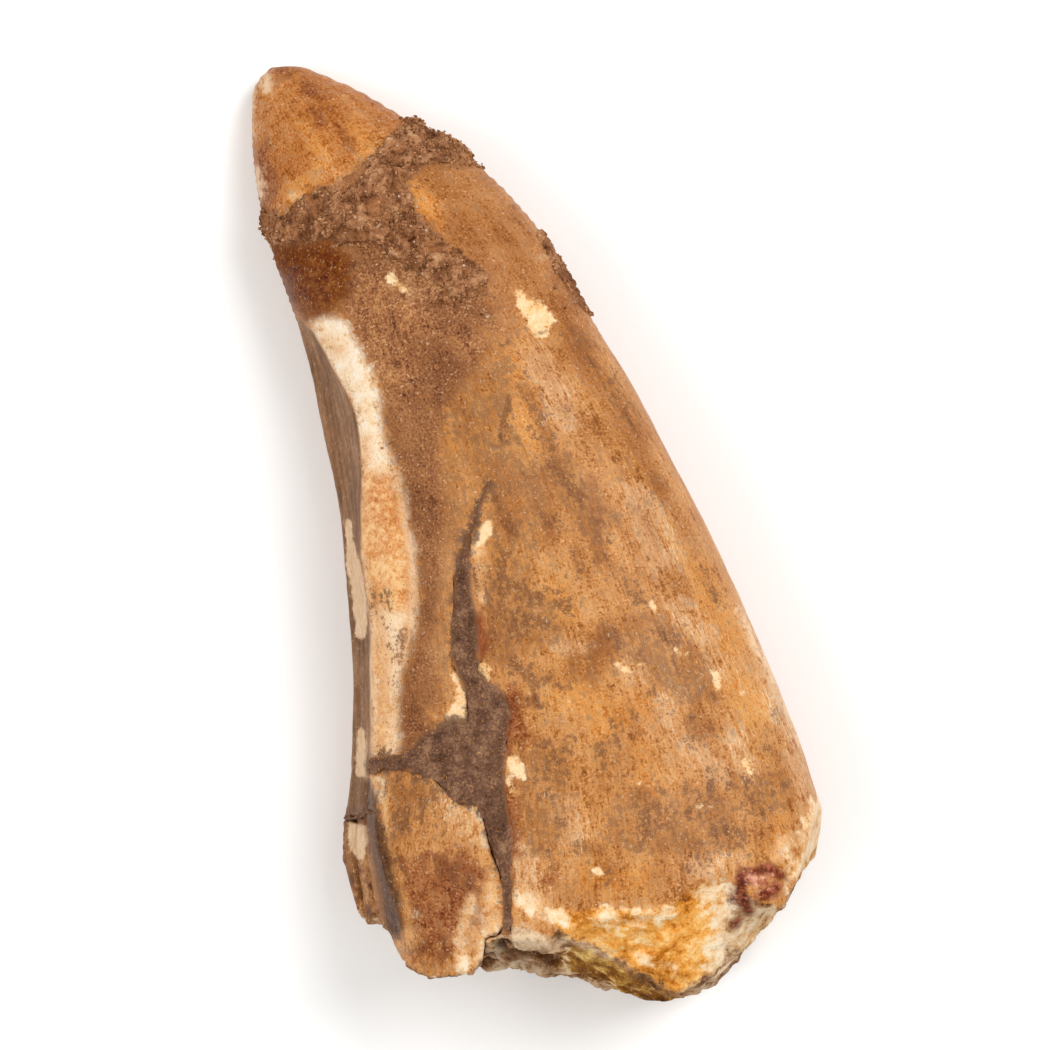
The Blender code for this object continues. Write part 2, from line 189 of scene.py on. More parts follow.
def facings(piece):
    """Which way the skin faces at each vertex."""
    normals = np.empty(len(piece.data.vertices) * 3, np.float32)
    piece.data.vertices.foreach_get("normal", normals)
    return normals.reshape(-1, 3).astype(float)


def rise(values, low, high):
    """0 below low, 1 above high, with a soft step between."""
    share = np.clip((values - low) / (high - low), 0.0, 1.0)
    return share * share * (3.0 - 2.0 * share)


def weigh(piece, name, weights, levels=40):
    """A vertex group with these weights, for a modifier to follow."""
    group = piece.vertex_groups.new(name=name)
    steps = np.round(np.clip(weights, 0.0, 1.0) * levels).astype(int)
    for step in range(1, levels + 1):
        group.add(np.flatnonzero(steps == step).tolist(), step / levels, "REPLACE")
    return name


def edge_points(piece, angle, spacing):
    """Points along the edges of the mesh that are sharper than this angle."""
    shape = bmesh.new()
    shape.from_mesh(piece.data)
    found = []
    for edge in shape.edges:
        if len(edge.link_faces) == 2 and edge.calc_face_angle() > angle:
            a, b = (v.co for v in edge.verts)
            count = max(1, int((b - a).length / spacing))
            found += [a.lerp(b, (k + 0.5) / count) for k in range(count)]
    shape.free()
    return found


def distance_to(points, piece):
    """How far each vertex of the piece is from the nearest of these points."""
    tree = KDTree(len(points))
    for index, point in enumerate(points):
        tree.insert(point, index)
    tree.balance()
    return np.array([tree.find(v.co)[2] for v in piece.data.vertices])


# %% Fine skin with crisp edges
def fine_skin(piece, voxel, rounds, keep=0.0011, angle=math.radians(34)):
    """An even skin, its facets smoothed away except near sharp edges."""
    sharp = edge_points(piece, angle, 0.3 * MM)
    modify(piece, "REMESH", mode="VOXEL", voxel_size=voxel)
    near = distance_to(sharp, piece)
    group = weigh(piece, "smooth_skin", 0.06 + 0.94 * rise(near, 0.35 * keep, keep))
    modify(piece, "SMOOTH", factor=0.5, iterations=rounds, vertex_group=group)
    bpy.ops.object.shade_smooth()
    print(f"{piece.name}: {len(piece.data.polygons)} quads")
    return near


def lumps(name, size, kind="CLOUDS", depth=2):
    """A pattern of lumps of this size, to push a skin in and out by."""
    pattern = bpy.data.textures.new(name, kind)
    pattern.noise_scale = size
    if kind == "CLOUDS":
        pattern.noise_depth = depth
    return pattern


def push(piece, name, height, weights, level=0.0):
    """Pushes the skin out by this height, as far as the weights say."""
    modify(piece, "DISPLACE", strength=height, mid_level=level, vertex_group=weigh(piece, name, weights))


def roughen(piece, pattern, height, weights, level=0.5):
    """Pushes the skin in and out by a pattern, as far as the weights say."""
    group = weigh(piece, pattern.name, weights)
    modify(piece, "DISPLACE", texture=pattern, texture_coords="LOCAL", strength=height, mid_level=level,
           vertex_group=group)


# %% [markdown]
# ## Marks on the surface
# The colours of a fossil tooth are a record of what it went through: enamel stained by minerals, bare
# dentine where enamel came off, a film of dust, rust. Some marks are painted light and shade instead:
# painted shade in the hollow, the pits, the valley and on the side wall, and painted highlights on the
# rims and in the pale streaks. Each kind of mark is drawn as outlines and brush strokes in the picture,
# and turned into one number per vertex: how far inside the mark it is. The finishes below roughen these
# borders with noise, so they get the frayed edges of real stains.


# %% From outlines and strokes to numbers
def inside_by(xy, outline):
    """How far inside the outline each place is, in picture pixels, and negative outside."""
    corners = np.array(outline, float)
    nearest = np.full(len(xy), 1e9)
    inside = np.zeros(len(xy), bool)
    for a, b in zip(corners, np.roll(corners, -1, axis=0)):
        run = b - a
        share = np.clip(((xy - a) @ run) / (run @ run), 0.0, 1.0)
        nearest = np.minimum(nearest, np.hypot(*(xy - a - share[:, None] * run).T))
        slope = run[0] / run[1] if run[1] else 0.0
        inside ^= ((a[1] > xy[:, 1]) != (b[1] > xy[:, 1])) & (xy[:, 0] < a[0] + (xy[:, 1] - a[1]) * slope)
    return np.where(inside, nearest, -nearest)


def under_stroke(xy, stroke):
    """The same for a brush stroke through (x, y, half width) points."""
    points = np.array(stroke, float)
    if len(points) == 1:
        return points[0, 2] - np.hypot(*(xy - points[0, :2]).T)
    best = np.full(len(xy), -1e9)
    for a, b in zip(points, points[1:]):
        run = b[:2] - a[:2]
        share = np.clip(((xy - a[:2]) @ run) / (run @ run), 0.0, 1.0)
        away = np.hypot(*(xy - a[:2] - share[:, None] * run).T)
        best = np.maximum(best, a[2] + (b[2] - a[2]) * share - away)
    return best


MARKS = {}


def draw(name, outlines=(), strokes=()):
    """Keeps the outlines and strokes of one kind of mark."""
    MARKS[name] = (outlines, strokes)


# %% Bare dentine, chips and painted rim highlights
BARE_STRIP = [(314, 323), (322, 318), (336, 321), (347, 325), (353, 338), (362, 356), (371, 370),
              (377, 384), (379, 413), (386, 446), (395, 469), (404, 491), (408, 522), (414, 553),
              (417, 585), (416, 616), (410, 650), (402, 673), (397, 701), (397, 757), (371, 762),
              (371, 640), (370, 602), (362, 558), (362, 525), (363, 475), (360, 435), (356, 413),
              (347, 392), (336, 373), (325, 352), (315, 334)]
UPPER_CHIP = [(516, 291), (521, 289), (527, 298), (538, 300), (546, 307), (554, 320), (548, 328),
              (550, 333), (541, 338), (532, 334), (526, 318), (518, 308)]
GROOVE_CHIP = [(451, 674), (456, 670), (463, 672), (469, 690), (471, 712), (466, 726), (462, 718),
               (456, 724), (449, 726), (447, 716), (455, 702), (457, 688)]
draw("strip", [BARE_STRIP])
draw("bare", [UPPER_CHIP, GROOVE_CHIP], [[(478, 664, 5), (484, 670, 7), (486, 680, 4)],
     [(477, 545, 3), (484, 533, 6), (489, 524, 4)], [(455, 582, 2), (456, 594, 2)],
     [(504, 764, 5), (512, 762, 7), (518, 768, 6), (522, 776, 3)], [(508, 780, 3), (511, 792, 3)],
     [(618, 663, 2), (627, 670, 3), (640, 664, 2), (645, 668, 2)],
     [(653, 604, 1.5), (655, 612, 1.5), (657, 606, 1)], [(677, 650, 2), (682, 656, 3), (688, 653, 1)],
     [(714, 672, 2), (718, 680, 3), (716, 688, 3)], [(742, 693, 2)], [(746, 762, 4), (750, 770, 3)],
     [(388, 276, 2), (397, 284, 4), (406, 291, 3)], [(597, 870, 2.5), (600, 873, 2)], [(700, 806, 2)],
     [(640, 782, 2)]])
draw("wall_white", [[(347, 818), (352, 822), (366, 826), (368, 840), (363, 860), (356, 858), (347, 838)]],
     [[(348, 522, 3), (350, 545, 4), (354, 572, 7), (360, 600, 8), (361, 634, 5)],
     [(361, 732, 4), (361, 772, 5)], [(374, 790, 2), (372, 800, 2)]])
# Painted highlight: pale strokes along the left edge of the tip, a spot at the tip and along the right
# edge, standing for light caught on the rims.
draw("painted_rim_highlight", [], [[(259, 80, 2), (253, 94, 4), (250, 112, 4), (251, 140, 3)], [(258, 170, 3), (261, 196, 3)],
     [(268, 76, 3), (267, 88, 3)], [(738, 609, 2), (762, 658, 4), (784, 698, 4), (800, 740, 3)]])
draw("honey", [[(352, 470), (400, 466), (412, 560), (418, 600), (402, 615), (372, 606), (362, 560)]],
     [[(366, 440, 3), (364, 470, 4), (365, 520, 6)], [(390, 500, 12), (392, 560, 16)],
     [(410, 600, 5), (404, 660, 5)], [(376, 640, 4), (380, 690, 5), (378, 750, 4)],
     [(325, 340, 3), (338, 350, 4)], [(382, 700, 3), (392, 710, 4)]])

# %% Dust film, worn enamel and pale streaks with painted sheen
draw("dust", [[(345, 322), (332, 306), (340, 262), (380, 262), (420, 296), (476, 318), (494, 345),
     (474, 372), (455, 396), (440, 430), (444, 470), (446, 520), (446, 570), (440, 620), (428, 650),
     (424, 700), (440, 735), (424, 750), (398, 757), (398, 720), (404, 676), (414, 640), (419, 600),
     (414, 553), (406, 500), (396, 469), (386, 446), (379, 413), (377, 384), (362, 356)]],
     [[(300, 262, 6), (340, 258, 12), (380, 275, 16)], [(430, 300, 14), (480, 318, 12), (500, 330, 6)],
     [(408, 420, 12), (414, 480, 16), (424, 540, 18)], [(404, 700, 6), (404, 745, 7)],
     [(424, 640, 12), (430, 700, 13)]])
draw("film", [[(430, 300), (520, 330), (505, 420), (500, 480), (480, 540), (462, 600), (456, 640),
     (450, 690), (425, 710), (420, 640), (430, 560), (430, 470), (430, 400)]],
     [[(500, 440, 22), (520, 500, 30), (505, 580, 26), (500, 640, 24)], [(560, 470, 22), (600, 520, 20)],
     [(530, 620, 34)], [(650, 640, 30), (690, 680, 26)], [(540, 770, 26), (545, 840, 20)],
     [(640, 820, 34), (700, 820, 34)], [(770, 790, 20)], [(420, 800, 18)]])
draw("brown", [[(404, 176), (440, 168), (486, 176), (530, 225), (575, 290), (600, 350), (570, 356),
     (556, 318), (520, 286), (500, 300), (470, 270), (440, 226)]], [[(500, 300, 16), (505, 330, 14)],
     [(580, 350, 12), (640, 450, 10), (700, 560, 6)], [(330, 84, 8), (400, 118, 8)],
     [(290, 78, 5), (300, 84, 9), (316, 96, 8), (340, 120, 10)],
     [(262, 135, 10), (275, 170, 20), (270, 205, 14)], [(318, 112, 10), (345, 140, 8)],
     [(300, 176, 10), (316, 190, 8)], [(505, 470, 16), (512, 520, 14)], [(540, 480, 12), (550, 540, 10)],
     [(590, 480, 8), (600, 560, 6)], [(640, 500, 4), (690, 600, 4)], [(600, 640, 10), (590, 690, 6)]])
draw("amber", [], [[(408, 180, 6), (424, 206, 14), (436, 224, 8)], [(355, 130, 10), (368, 146, 10)],
     [(304, 126, 4), (316, 140, 10), (322, 156, 8)], [(500, 346, 8), (512, 368, 16)],
     [(480, 540, 8), (500, 560, 9)], [(705, 575, 14), (728, 640, 16)], [(735, 690, 14), (752, 712, 16)],
     [(600, 730, 12), (640, 700, 12)], [(640, 740, 10), (650, 790, 12)], [(560, 700, 10), (600, 700, 12)],
     [(520, 400, 9), (530, 450, 10)], [(280, 72, 8), (300, 72, 6)], [(300, 190, 14)],
     [(590, 880, 14), (640, 880, 14)], [(555, 590, 8), (565, 620, 6)], [(440, 400, 10), (450, 450, 12)],
     [(470, 480, 8)], [(440, 690, 6), (430, 720, 6)], [(780, 820, 10), (768, 850, 8)],
     [(580, 700, 16), (620, 720, 14)], [(516, 904, 10), (540, 908, 8)]])
# Partly painted sheen: pale enamel streaks, together with a broad painted highlight on the right of the
# crown.
draw("pale_streaks_and_sheen", [], [
    [(640, 500, 14), (660, 560, 14)],
    [(680, 610, 10), (700, 640, 6)], [(625, 640, 8), (640, 668, 12)], [(540, 360, 12), (566, 420, 12)],
    [(700, 620, 6), (716, 672, 8)], [(690, 740, 10), (720, 775, 12)], [(735, 740, 8), (745, 770, 10)],
    [(560, 800, 10), (570, 830, 12)], [(520, 850, 12), (540, 890, 12)], [(665, 700, 6), (670, 730, 6)],
    [(690, 868, 12), (715, 862, 10)], [(440, 800, 4), (470, 830, 7)], [(548, 640, 6), (580, 650, 8)],
    [(270, 225, 3), (300, 222, 8), (325, 226, 8)], [(772, 690, 5), (792, 740, 7), (803, 790, 7)],
])

# %% Dark stains
draw("dark", [], [[(522, 388, 4), (530, 396, 6), (537, 404, 4)], [(558, 403, 3), (562, 407, 4)],
     [(430, 350, 9), (455, 372, 9)], [(416, 400, 8), (424, 440, 9), (410, 470, 6)],
     [(438, 400, 5), (446, 430, 5)], [(462, 400, 4), (470, 430, 4)], [(502, 422, 4), (501, 438, 5)],
     [(420, 500, 10), (428, 540, 8)], [(500, 500, 8), (510, 530, 8)], [(550, 462, 7), (560, 470, 8)],
     [(576, 490, 6), (580, 500, 6)], [(600, 520, 5), (606, 540, 5)], [(650, 478, 4), (658, 490, 4)],
     [(548, 520, 8), (556, 530, 7)], [(505, 540, 5), (503, 580, 6)],
     [(496, 590, 9), (522, 592, 12), (545, 598, 5)], [(500, 612, 12), (530, 632, 14), (550, 622, 6)],
     [(488, 570, 5), (486, 590, 4)], [(577, 556, 5), (580, 570, 6)], [(598, 540, 5), (602, 556, 5)],
     [(558, 600, 5), (565, 606, 5)], [(606, 622, 6), (614, 640, 8), (618, 652, 5)],
     [(585, 653, 5), (592, 656, 6)], [(512, 662, 5), (524, 672, 9), (532, 680, 8)],
     [(550, 676, 7), (560, 686, 6)], [(518, 700, 6), (540, 705, 5)], [(575, 660, 5), (570, 676, 4)],
     [(638, 650, 1), (650, 690, 2), (658, 712, 2)], [(608, 690, 2), (616, 724, 2)],
     [(692, 720, 5), (695, 730, 8), (690, 734, 5)], [(706, 690, 5), (714, 695, 4)],
     [(650, 630, 5), (672, 640, 6)], [(680, 660, 8), (690, 672, 6)], [(709, 728, 3), (704, 734, 3)],
     [(779, 713, 2), (781, 718, 3)], [(776, 730, 2)], [(571, 742, 2), (556, 752, 7), (566, 760, 6)],
     [(545, 770, 8), (548, 790, 7)], [(603, 748, 4), (602, 790, 5)], [(632, 712, 3), (634, 724, 3)],
     [(540, 800, 6), (536, 780, 4)], [(620, 796, 2), (616, 740, 2)], [(645, 800, 14), (660, 816, 14)],
     [(630, 826, 10), (650, 835, 8)], [(710, 780, 5), (716, 800, 7)],
     [(720, 824, 10), (735, 832, 9), (728, 845, 8)], [(686, 790, 5), (690, 820, 6)],
     [(750, 782, 3), (760, 810, 4)], [(764, 776, 4), (780, 790, 5)], [(700, 846, 8), (706, 860, 5)],
     [(548, 850, 7), (556, 866, 6)], [(580, 846, 5), (600, 850, 5)], [(612, 880, 4), (608, 870, 5)],
     [(688, 868, 3), (685, 874, 3)], [(560, 820, 5), (556, 830, 4)], [(770, 750, 3), (775, 758, 3)],
     [(398, 778, 3), (402, 796, 5), (408, 822, 4)], [(416, 776, 4), (421, 800, 5), (422, 830, 4)],
     [(432, 786, 3), (434, 824, 3)], [(386, 832, 3), (389, 838, 4)], [(398, 860, 3)],
     [(440, 866, 6), (468, 884, 7)], [(420, 946, 6), (440, 948, 8)], [(420, 912, 5)],
     [(376, 594, 2), (382, 597, 4)], [(375, 609, 3), (378, 612, 3)],
     [(372, 754, 4), (398, 752, 4), (425, 742, 8), (440, 728, 9)], [(404, 744, 5), (430, 734, 8)],
     [(700, 570, 2), (718, 600, 2)], [(452, 392, 4), (458, 410, 5)], [(470, 572, 4), (480, 590, 4)],
     [(470, 640, 5), (462, 660, 5)], [(404, 660, 3), (407, 690, 4), (404, 720, 4)],
     [(350, 240, 4), (420, 250, 4), (430, 240, 4)],
     [(496, 560, 10), (500, 600, 15), (522, 630, 16), (552, 622, 8)], [(604, 625, 6), (612, 652, 7)],
     [(544, 748, 7), (560, 765, 10), (545, 790, 9)], [(603, 745, 5), (603, 790, 6)],
     [(692, 716, 7), (696, 734, 8)], [(392, 420, 9), (400, 456, 9)], [(410, 490, 9), (424, 524, 10)],
     [(420, 350, 9), (444, 380, 9)], [(404, 640, 9), (412, 690, 12), (412, 728, 10)],
     [(420, 556, 8), (426, 610, 8)], [(720, 828, 14), (733, 842, 12)],
     [(396, 776, 7), (402, 820, 8), (404, 838, 5)], [(416, 774, 7), (424, 832, 7)],
     [(432, 784, 5), (438, 828, 4)], [(735, 780, 9), (752, 798, 8)],
     [(570, 330, 5), (600, 370, 6), (640, 430, 5)], [(530, 400, 6), (560, 470, 8), (575, 500, 6)],
     [(610, 560, 5), (640, 600, 5)], [(720, 830, 9), (700, 800, 8)]])
draw("orange", [[(240, 50), (300, 50), (430, 110), (420, 122), (372, 150), (340, 180), (300, 206),
     (262, 212), (245, 200)]], [[(412, 176, 8), (424, 204, 14), (438, 224, 8)],
     [(300, 262, 6), (298, 300, 8)]])
LIVER = [(262, 246), (300, 243), (330, 240), (350, 262), (348, 296), (332, 316), (312, 322), (298, 318),
         (280, 296)]
draw("liver", [LIVER], [])
draw("rust", [], [[(476, 618, 5), (484, 640, 8), (482, 658, 5)],
     [(512, 700, 10), (516, 730, 13), (506, 750, 8)], [(508, 790, 6), (512, 815, 8), (512, 850, 7)],
     [(436, 862, 5), (462, 868, 9), (484, 878, 8)], [(412, 876, 5), (440, 888, 12), (474, 890, 9)],
     [(424, 900, 8), (430, 918, 12), (470, 904, 9)],
     [(404, 918, 5), (436, 930, 12), (466, 922, 9), (482, 912, 5)],
     [(418, 950, 9), (440, 952, 10), (462, 940, 6)], [(428, 856, 3), (420, 866, 4)],
     [(376, 782, 4), (382, 800, 4)], [(392, 840, 3), (390, 858, 4)], [(400, 900, 4), (404, 912, 5)],
     [(280, 70, 6), (294, 72, 6)], [(300, 82, 6), (316, 96, 6), (330, 108, 5)],
     [(336, 124, 6), (350, 144, 4)], [(312, 108, 6), (322, 124, 5)],
     [(258, 146, 5), (266, 176, 9), (264, 200, 8)], [(386, 508, 8), (390, 530, 8)],
     [(372, 770, 3), (380, 790, 3)], [(548, 880, 5), (556, 870, 5)],
     [(400, 850, 4), (408, 880, 6), (420, 915, 8), (432, 945, 8)], [(452, 852, 4), (476, 860, 4)],
     [(446, 872, 13), (452, 900, 18), (436, 930, 17)], [(416, 884, 9), (424, 912, 12)],
     [(424, 952, 9), (450, 950, 9)], [(479, 620, 7), (484, 650, 8)], [(514, 700, 12), (520, 740, 12)]])
draw("maroon", [], [[(739, 868, 4), (752, 872, 5), (768, 868, 6), (782, 876, 6)],
     [(741, 876, 6), (742, 896, 7), (748, 912, 6)], [(764, 896, 8), (775, 888, 6)], [(732, 898, 4)],
     [(733, 926, 5), (738, 922, 4)], [(748, 880, 6)]])
draw("pink", [], [[(752, 878, 4), (758, 882, 6), (764, 884, 5)], [(756, 894, 2), (751, 900, 2)],
     [(769, 876, 2)]])

# %% Broken base, the side wall with painted shade, and painted shade in the hollow, pits and valley
draw("gold", [[(551, 910), (568, 914), (592, 907), (620, 910), (647, 910), (674, 904), (681, 892),
     (700, 888), (719, 886), (726, 897), (722, 930), (716, 969), (690, 985), (674, 992), (655, 982),
     (630, 964), (604, 950), (580, 940), (560, 930)]], [[(556, 914, 4), (590, 916, 5)]])
draw("cream_break", [[(786, 880), (792, 858), (802, 836), (804, 815), (812, 800), (832, 800), (832, 860),
     (800, 884)]], [[(690, 892, 7), (712, 892, 9), (720, 905, 7)],
     [(724, 920, 7), (722, 950, 6), (714, 966, 5)], [(735, 945, 10), (755, 932, 10), (768, 912, 6)],
     [(552, 912, 4), (575, 918, 4), (592, 912, 3)], [(600, 918, 3), (650, 916, 4), (672, 908, 4)],
     [(650, 960, 5), (672, 968, 6)], [(556, 950, 4), (560, 958, 4)], [(486, 956, 5), (494, 944, 5)],
     [(456, 962, 2), (474, 958, 3)], [(406, 912, 3), (409, 920, 3)], [(518, 904, 5), (536, 908, 4)],
     [(376, 776, 1)], [(483, 812, 1.5), (488, 826, 2), (492, 844, 1.5)]])
draw("apricot", [], [[(366, 520, 6), (376, 600, 8), (384, 660, 10), (386, 740, 9)],
     [(392, 500, 8), (400, 600, 9)], [(470, 900, 4), (458, 960, 6)], [(490, 880, 6), (494, 930, 6)],
     [(512, 892, 8), (545, 906, 8)], [(384, 872, 6), (400, 920, 6), (412, 944, 5)],
     [(372, 776, 5), (384, 800, 4), (390, 850, 4)], [(552, 252, 3)], [(300, 200, 4)],
     [(784, 840, 9), (776, 856, 6)], [(476, 546, 5), (484, 560, 5), (480, 600, 4)], [(456, 690, 5)],
     [(490, 660, 5)]])
draw("lip", [[(509, 928), (520, 924), (540, 932), (561, 940), (564, 952), (545, 953), (515, 947)]],
     [[(486, 972, 10), (540, 980, 16), (600, 996, 14)]])
draw("olive", [[(560, 945), (580, 948), (604, 957), (630, 970), (655, 986), (676, 996), (660, 1010),
     (600, 1002), (560, 975), (550, 955)]], [])
# Painted shade: the hollow under the lip of the break is painted dark as the shadow in it, besides being
# pressed in.
draw("hollow", [], [[(497, 942, 4), (505, 948, 6), (512, 954, 3), (556, 961, 2)],
     [(484, 962, 3), (492, 956, 3)]])
# Painted shade: the narrow valley between the chip and the slab is painted dark brown as its shadow,
# besides being cut in.
draw("valley", [], [[(368, 785, 4), (375, 824, 8), (382, 860, 9), (390, 895, 9), (396, 925, 9)]])
draw("chip_brown", [[(342, 822), (369, 800), (378, 850), (388, 900), (386, 920), (372, 930), (350, 912),
     (340, 880)]])
# Painted shade: the pits in the back wall are painted dark as the shadow inside them, besides being pressed
# in.
draw("pits_with_painted_shade", [], [[(520, 968, 2)], [(534, 974, 3)], [(508, 972, 2)], [(548, 986, 2)], [(566, 982, 3)],
     [(498, 980, 2)], [(600, 990, 3)], [(520, 984, 2)]])
# Partly painted shade: the side wall is its own smooth brown, coloured darker still to stand for the shade
# it lies in.
draw("wall_with_painted_shade", [[(290, 318), (300, 318), (314, 333), (324, 352), (335, 373), (346, 392), (355, 413),
     (359, 435), (362, 475), (361, 525), (361, 558), (368, 602), (370, 640), (370, 765), (371, 790),
     (377, 824), (383, 859), (388, 884), (395, 913), (402, 940), (330, 940), (320, 840), (330, 700),
     (320, 560), (290, 400), (270, 310)]], [])

# %% Sand and sediment stains
SAND_BAND = [(402, 128), (410, 112), (450, 118), (490, 150), (486, 166), (462, 168), (430, 166), (408, 182),
             (408, 206), (432, 226), (452, 254), (484, 274), (490, 296), (470, 308), (440, 292), (404, 268),
             (380, 248), (350, 244), (322, 258), (300, 264), (276, 272), (262, 240), (262, 206), (285, 220),
             (300, 208), (312, 192), (345, 184), (370, 160)]
SEDIMENT = [(464, 560), (470, 575), (472, 592), (476, 606), (483, 614), (486, 630), (484, 645), (480, 656),
            (474, 664), (476, 674), (484, 684), (496, 690), (504, 700), (507, 716), (504, 735), (503, 754),
            (500, 775), (503, 800), (508, 820), (510, 845), (511, 870), (508, 884), (504, 868), (497, 848),
            (491, 826), (484, 808), (478, 797), (468, 799), (458, 796), (450, 788), (442, 779), (432, 773),
            (418, 768), (400, 766), (385, 767), (373, 770), (371, 763), (385, 759), (400, 758), (415, 751),
            (428, 741), (440, 733), (452, 727), (466, 729), (472, 715), (471, 700), (467, 684), (460, 668),
            (454, 655), (455, 640), (455, 615), (459, 600), (459, 580), (460, 565)]
DARK_MUD = [(458, 560), (464, 554), (467, 575), (467, 592), (470, 606), (474, 618), (475, 640), (474, 656),
            (478, 672), (484, 684), (496, 692), (505, 700), (506, 720), (502, 745), (500, 775), (503, 800),
            (506, 820), (508, 845), (508, 870), (505, 868), (498, 848), (491, 826), (485, 808), (478, 797),
            (468, 799), (458, 796), (450, 788), (442, 779), (432, 773), (418, 768), (400, 766), (385, 767),
            (371, 770), (371, 761), (385, 759), (400, 757), (415, 749), (426, 738), (438, 728), (450, 722),
            (462, 724), (470, 712), (471, 700), (467, 684), (460, 668), (454, 655), (454, 640), (454, 615),
            (457, 600)]
SLAB_EDGE = [(418, 769, 3), (440, 779, 3), (456, 796, 3), (470, 800, 3), (480, 802, 3), (489, 826, 3),
             (497, 850, 3), (504, 872, 3), (507, 896, 2)]
draw("sandy", [SAND_BAND], [[(345, 236, 14), (400, 262, 22), (440, 300, 16), (488, 310, 10)],
     [(550, 252, 8), (578, 300, 8)], [(420, 120, 10), (470, 150, 14)]])
draw("muddy", [DARK_MUD], [SLAB_EDGE, [(462, 561, 3), (469, 536, 3), (478, 506, 2), (487, 486, 2)],
     [(372, 766, 4), (430, 762, 4)], [(345, 818, 3), (375, 812, 3)], [(508, 880, 1.5), (508, 928, 1.5)]])
print(len(MARKS), "kinds of mark,", sum(len(strokes) for _, strokes in MARKS.values()), "strokes")


# %% [markdown]
# ## Growth lines
# Enamel grows in fibres that run from the tip to the base and fan out with the crown. To follow them,
# each vertex gets its place across and along the crown, between the two edges. Patterns made from that
# place are stretched along it by ten to one, so they come out as streaks that bend with the tooth.

# %% Places across and along the crown
MESIAL_EDGE = [(270, 64), (286, 61), (332, 76), (410, 120), (510, 196), (589, 316), (670, 456), (747, 616),
               (809, 776), (827, 858), (839, 1023)]
DISTAL_EDGE = [(270, 64), (256, 78), (250, 116), (256, 176), (274, 256), (303, 336), (326, 437), (345, 564),
               (352, 658), (351, 764), (342, 847), (347, 917), (362, 1023)]
CROWN_WIDTH = 40.0      # millimetres that the pattern spans across
CROWN_LENGTH = 9.0      # and along: a tenth of the real length, which draws it out


def even_steps(edge, count):
    """Places at equal steps along an edge."""
    points = np.array(edge, float)
    run = np.concatenate([[0.0], np.cumsum(np.hypot(*np.diff(points, axis=0).T))])
    return np.stack([np.interp(np.linspace(0, run[-1], count), run, points[:, k]) for k in (0, 1)], axis=1)


def growth_place(xy, count=90):
    """(across, along) of each place, both from 0 to 1."""
    right, left = even_steps(MESIAL_EDGE, count), even_steps(DISTAL_EDGE, count)
    span = left - right
    side = span[None, 3:, 0] * (xy[:, None, 1] - right[None, 3:, 1]) - span[None, 3:, 1] * (
        xy[:, None, 0] - right[None, 3:, 0])
    passed = np.clip((side < 0).sum(axis=1), 1, count - 5)
    ahead = np.take_along_axis(side, passed[:, None], 1)[:, 0]
    behind = np.take_along_axis(side, passed[:, None] - 1, 1)[:, 0]
    part = np.clip(behind / np.where(behind == ahead, 1.0, behind - ahead), 0.0, 1.0)
    spot = right[passed + 2] + part[:, None] * (right[passed + 3] - right[passed + 2])
    run = span[passed + 2] + part[:, None] * (span[passed + 3] - span[passed + 2])
    across = ((xy - spot) * run).sum(axis=1) / (run ** 2).sum(axis=1)
    return across, (passed + 2 + part) / count


# %% Painting the numbers onto a piece
def keep_field(piece, name, values):
    """Stores one number per vertex under this name, for the finish to read."""
    field = piece.data.attributes.new(name, "FLOAT", "POINT")
    field.data.foreach_set("value", np.ascontiguousarray(values, np.float32))


def paint_marks(piece):
    """Puts every kind of mark on the sides of the piece that the camera sees."""
    co, normals = places(piece), facings(piece)
    xy = in_picture(co)
    hidden = 1.0 - rise(normals[:, 2], -0.35, 0.02)
    fields = {}
    for name, (outlines, strokes) in MARKS.items():
        depth = np.full(len(co), -30.0)
        for outline in outlines:
            depth = np.maximum(depth, inside_by(xy, outline))
        for stroke in strokes:
            depth = np.maximum(depth, under_stroke(xy, stroke))
        fields[name] = np.clip(np.clip(depth / 10.0, -3.0, 3.0) - 6.0 * hidden, -3.0, 3.0)
        keep_field(piece, name, fields[name])
    across, along = growth_place(xy)
    growth = np.stack([across * CROWN_WIDTH, along * CROWN_LENGTH, co[:, 2] / MM], axis=1)
    field = piece.data.attributes.new("growth", "FLOAT_VECTOR", "POINT")
    field.data.foreach_set("vector", np.ascontiguousarray(growth, np.float32).ravel())
    keep_field(piece, "below", 1.0 - rise(normals[:, 2], -0.5, 0.0))
    fields["along"] = along
    return fields


# %% [markdown]
# ## The crown
# One piece of enamel and dentine. On the real tooth, time has laid the dentine bare along the ridge,
# opened a fine crack, and torn the base off with a rough, splintery break. The skin is remeshed to three
# tenths of a millimetre and smoothed. Then the bare places are sunk a little below the enamel, the
# fine crack is pressed in, the edges near the tip get the ripple of worn serrations, and the break is
# roughened in coarse and fine steps.

# %% Crown: fine skin and marks
SWELL = 0.11 * MM       # what smoothing takes off the skin, and part of the gaps between the solids
crown = rough_copy("crown", "tooth_crown")
fine_skin(crown, 0.303 * MM, 30)
push(crown, "swollen", SWELL, 1.0 - rise(places(crown)[:, 1], 33.0 * MM, 40.0 * MM))
crown_fields = paint_marks(crown)
tip_left = (1.0 - rise(crown_fields["along"], 0.01, 0.10)) * rise(-facings(crown)[:, 0], -0.3, 0.9)
push(crown, "tip_left", 0.30 * MM, tip_left)

